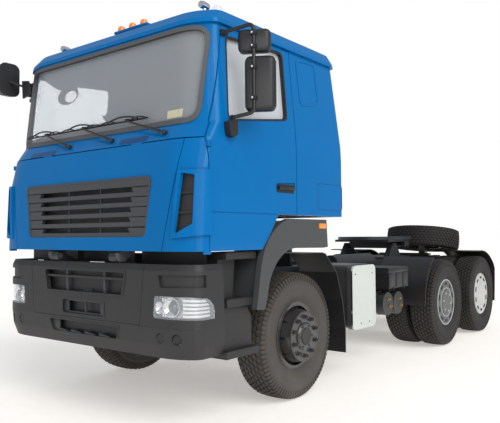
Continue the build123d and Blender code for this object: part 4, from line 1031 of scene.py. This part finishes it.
# %%
@dress("chassis", white_panel)
def silencer_panel(shape):
    outside = resample(box_outline(0.853, 1.340, 0.486, 1.114, 0.062), 90)
    inside = resample(box_outline(0.885, 1.308, 0.518, 1.082, 0.045), 90)
    loft(shape, [[(x, AXLE + a, b) for a, b in loop] for loop, x in
                 ((outside, 1.180), (outside, 1.196), (inside, 1.196), (inside, 1.1935))],
         (False, True))


@dress("chassis", steel_black)
def silencer_screws(shape):
    for a, b in ((0.915, 1.030), (1.270, 1.030), (1.020, 0.540), (1.200, 0.540)):
        add_lathe(shape, (1.1935, AXLE + a, b), (1, 0, 0),
                  [(0, 0.007), (0.004, 0.006), (0.005, 0.0)], 10)


@dress("chassis", black_plastic)
def battery_ribs(shape):
    """Wavy lid of the battery box, its three outer faces and two straps."""
    add_box(shape, (0.675, AXLE + 1.752, 0.990), (1.153, AXLE + 2.276, 1.034), 0.012)
    for k in range(9):
        y = AXLE + 1.790 + 0.056 * k
        add_rod(shape, (0.680, y, 1.034), (1.150, y, 1.034), 0.016, 12)
    for low, high in ((1.762, 1.900), (1.944, 2.080), (2.124, 2.262)):
        add_box(shape, (1.136, AXLE + low, 0.835), (1.152, AXLE + high, 0.992), 0.006)
    for y in (1.88, 2.16):
        add_rod(shape, (1.146, AXLE + y, 0.800), (1.146, AXLE + y, 0.860), 0.008, 10)


AIR_TANKS = ((1.850, 0.650), (2.120, 0.640))     # station and height of the two outer tanks


@dress("chassis", brass)
def air_tank_fittings(shape):
    for y, z in AIR_TANKS:
        for dz, dy in ((0.05, 0.0), (-0.03, 0.04)):
            add_lathe(shape, (1.088, AXLE + y + dy, z + dz), (1, 0, 0),
                      [(0, 0.016), (0.012, 0.016), (0.014, 0.010), (0.03, 0.010), (0.03, 0)], 10)


@dress("chassis", tank_metal)
def air_tank_bands(shape):
    for y, z in AIR_TANKS:
        for x in (0.60, 0.96):
            add_lathe(shape, (x, AXLE + y, z), (1, 0, 0),
                      [(0, 0.128), (0, 0.132), (0.03, 0.132), (0.03, 0.128)], 40)


# %% [markdown]
# ## Fifth wheel, couplings and spare wheel

# %%
@dress("fifth_wheel", tank_metal)
def coupling_edges(shape):
    """Bright worn ramp edges of the coupling plate."""
    for x in (0.185, -0.43):
        add_plate(shape, [(0.0, 0.0), (0.245, 0.0), (0.235, 0.03), (0.0, 0.03)],
                  (x, AXLE + 3.9705, 1.352), (1, 0, 0), (0, 0, 1), 0.003)


@dress("chassis", steel_black)
def coupling_board(shape):
    """Board behind the cab for the trailer's hoses, between two posts."""
    add_box(shape, (-0.34, AXLE + 0.980, 1.085), (0.34, AXLE + 1.010, 1.345), 0.006)
    for x in (0.36, -0.36):
        add_box(shape, (x - 0.02, AXLE + 0.975, 1.085), (x + 0.02, AXLE + 1.015, 1.345), 0.006)


def couplers(material, places, name):
    def build(shape):
        for x, z in places:
            add_lathe(shape, (x, AXLE + 1.010, z), (0, 1, 0),
                      [(0, 0.03), (0.02, 0.03), (0.024, 0.022), (0.055, 0.022), (0.06, 0.014),
                       (0.06, 0)], 20)
    piece(name, "chassis", material, build)


couplers(red, [(-0.2, 1.29)], "coupler_red")
couplers(yellow, [(0.2, 1.29)], "coupler_yellow")
couplers(black_plastic, [(-0.06, 1.27), (0.06, 1.27)], "couplers_black")


@dress("chassis", white)
def header_tank(shape):
    """White header tank above the front tyre, seen between arch and cab."""
    add_box(shape, (0.760, AXLE - 0.20, 1.486), (1.10, AXLE + 0.06, 1.546), 0.015)


def as_spare(builder):
    """Lay a wheel shape down behind the coupling, its front edge raised a little."""
    place = (Matrix.Translation((0.310, AXLE + 4.750, 1.342))
             @ Matrix.Rotation(math.radians(-8), 4, "X")
             @ Matrix.Rotation(math.radians(90), 4, "Y")
             @ Matrix.Translation((0, -AXLE, 0)))

    def build(shape):
        builder(shape)
        bmesh.ops.transform(shape, matrix=place, verts=shape.verts[:])
    return build


spare_skin = piece("spare_tyre_skin", "chassis", rear_rubber, as_spare(tyre_skin(0, 0, 0)))
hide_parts("spare_tyre")
piece("spare_tread", "chassis", rear_tread, as_spare(tread(0, 0, 0, 0.543)), smooth=False)


# %% [markdown]
# ## Behind the windscreen
# A white sheet that glows as painted sunlight, a sticker, a small oval mirror with a painted
# reflection and the rim of the steering wheel.

# %%
def on_screen(shape, outline, out):
    """Thin sheet that follows the windscreen at a depth."""
    patch(shape, outline, out, out - 0.002, front_skin)


def oval(x, height, half_wide, half_high):
    return [(x + half_wide * math.cos(turn), height + half_high * math.sin(turn))
            for turn in turns(28)]


# The sheet is real paper; its glow is painted sunlight.
@dress("cab", white_painted_glow)
def screen_sheet(shape):
    low = [(-1.060 + 1.110 * k / 12, 2.330 + 0.040 * k / 12) for k in range(13)]
    high = rounded([(0.060, 2.400), (0.060, 2.630), (-0.345, 2.725), (-0.560, 2.730)], 0.05)
    top = [(-0.700, 2.770), (-0.880, 2.870), (-1.000, 2.900), (-1.060, 2.840)]
    on_screen(shape, low + high + top, -0.036)


@dress("cab", sticker_cream)
def screen_sticker(shape):
    on_screen(shape, [(0.790, 2.302), (0.950, 2.302), (0.955, 2.362), (0.795, 2.362)], -0.0245)


@dress("cab", steel_black)
def screen_mirror_back(shape):
    on_screen(shape, oval(-0.500, 2.675, 0.150, 0.082), -0.0335)


# Light oval glowing on the mirror: a painted reflection, not the mirror's own colour.
@dress("cab", white_painted_glow)
def screen_mirror_painted_reflection(shape):
    on_screen(shape, oval(-0.455, 2.660, 0.082, 0.050), -0.0325)


@dress("cab", rubber_black)
def steering_ring(shape):
    centre, across = Vector((0.62, AXLE - 0.745, 2.154)), Vector((1, 0, 0))
    upward = Vector((0, 208, 110)).normalized().cross(across)
    add_tube(shape, [centre + 0.225 * (across * math.cos(turn) + upward * math.sin(turn))
                     for turn in turns(48)], 0.0155, 10, closed=True)


# %% [markdown]
# ## Floor, light and camera

# %%
mesh = bpy.data.meshes.new("floor")
shape = bmesh.new()
bmesh.ops.create_grid(shape, x_segments=1, y_segments=1, size=60)
shape.to_mesh(mesh)
shape.free()
mesh.materials.append(glowing("floor", (0.74, 0.70, 0.65), (0.86, 0.84, 0.81), 14.0, 0.9, 0.5))
made = added("floor", mesh)

sky = Shader("studio", bpy.data.worlds.new("studio"))
bpy.context.scene.world = sky.material
glow, seen = [sky.node("ShaderNodeBackground", {"Color": colour(*tint), "Strength": strength})
              for tint, strength in (((0.86, 0.92, 1.0), 0.5), ((1, 1, 1), 1.0))]
to_camera = sky.node("ShaderNodeLightPath", output="Is Camera Ray")
sky.node("ShaderNodeOutputWorld",
         {"Surface": sky.node("ShaderNodeMixShader", {0: to_camera, 1: glow, 2: seen})})


def lamp(name, kind, power, place, target, size, tint=(1, 1, 1)):
    """A light aimed at a point; size is a sun's angle in degrees or an area's width."""
    data = bpy.data.lights.new(name, kind)
    data.energy = power
    data.color = tint
    if kind == "AREA":
        data.size = size
    if kind == "SUN":
        data.angle = math.radians(size)
    made = added(name, data)
    made.location = place
    made.rotation_euler = (Vector(target) - Vector(place)).to_track_quat("-Z", "Y").to_euler()


lamp("key", "SUN", 2.0, (14, -4, 12), (0, 0, 1.5), size=45, tint=(1.0, 0.98, 0.95))
lamp("fill", "AREA", 260, (7, -10, 4.5), (0, -2, 1.5), size=7)

camera_data = bpy.data.cameras.new("camera")
camera_data.sensor_width = 36.0
camera_data.lens = 44.12
camera_data.clip_end = 200
BEARING, PITCH, ROLL = 38.0989, 2.1984, -0.3910      # the camera's turns, in degrees
camera = added("camera", camera_data)
camera.matrix_world = Matrix.Translation((4.1131, AXLE - 4.4816, 1.4234))
for angle, axis in ((BEARING, "Z"), (90 + PITCH, "X"), (ROLL, "Z")):
    camera.matrix_world @= Matrix.Rotation(math.radians(angle), 4, axis)

scene = bpy.context.scene
scene.camera = camera
scene.render.engine = "CYCLES"
scene.render.resolution_x = 500
scene.render.resolution_y = 423
scene.view_settings.view_transform = "Standard"
scene.view_settings.look = "None"
scene.render.film_transparent = False

triangles = {}
for item in made_pieces:
    item.data.calc_loop_triangles()
    triangles[item.name] = len(item.data.loop_triangles)
print("pieces added:", len(triangles), "triangles:", sum(triangles.values()))
print("largest:", sorted(triangles.items(), key=lambda pair: -pair[1])[:5])
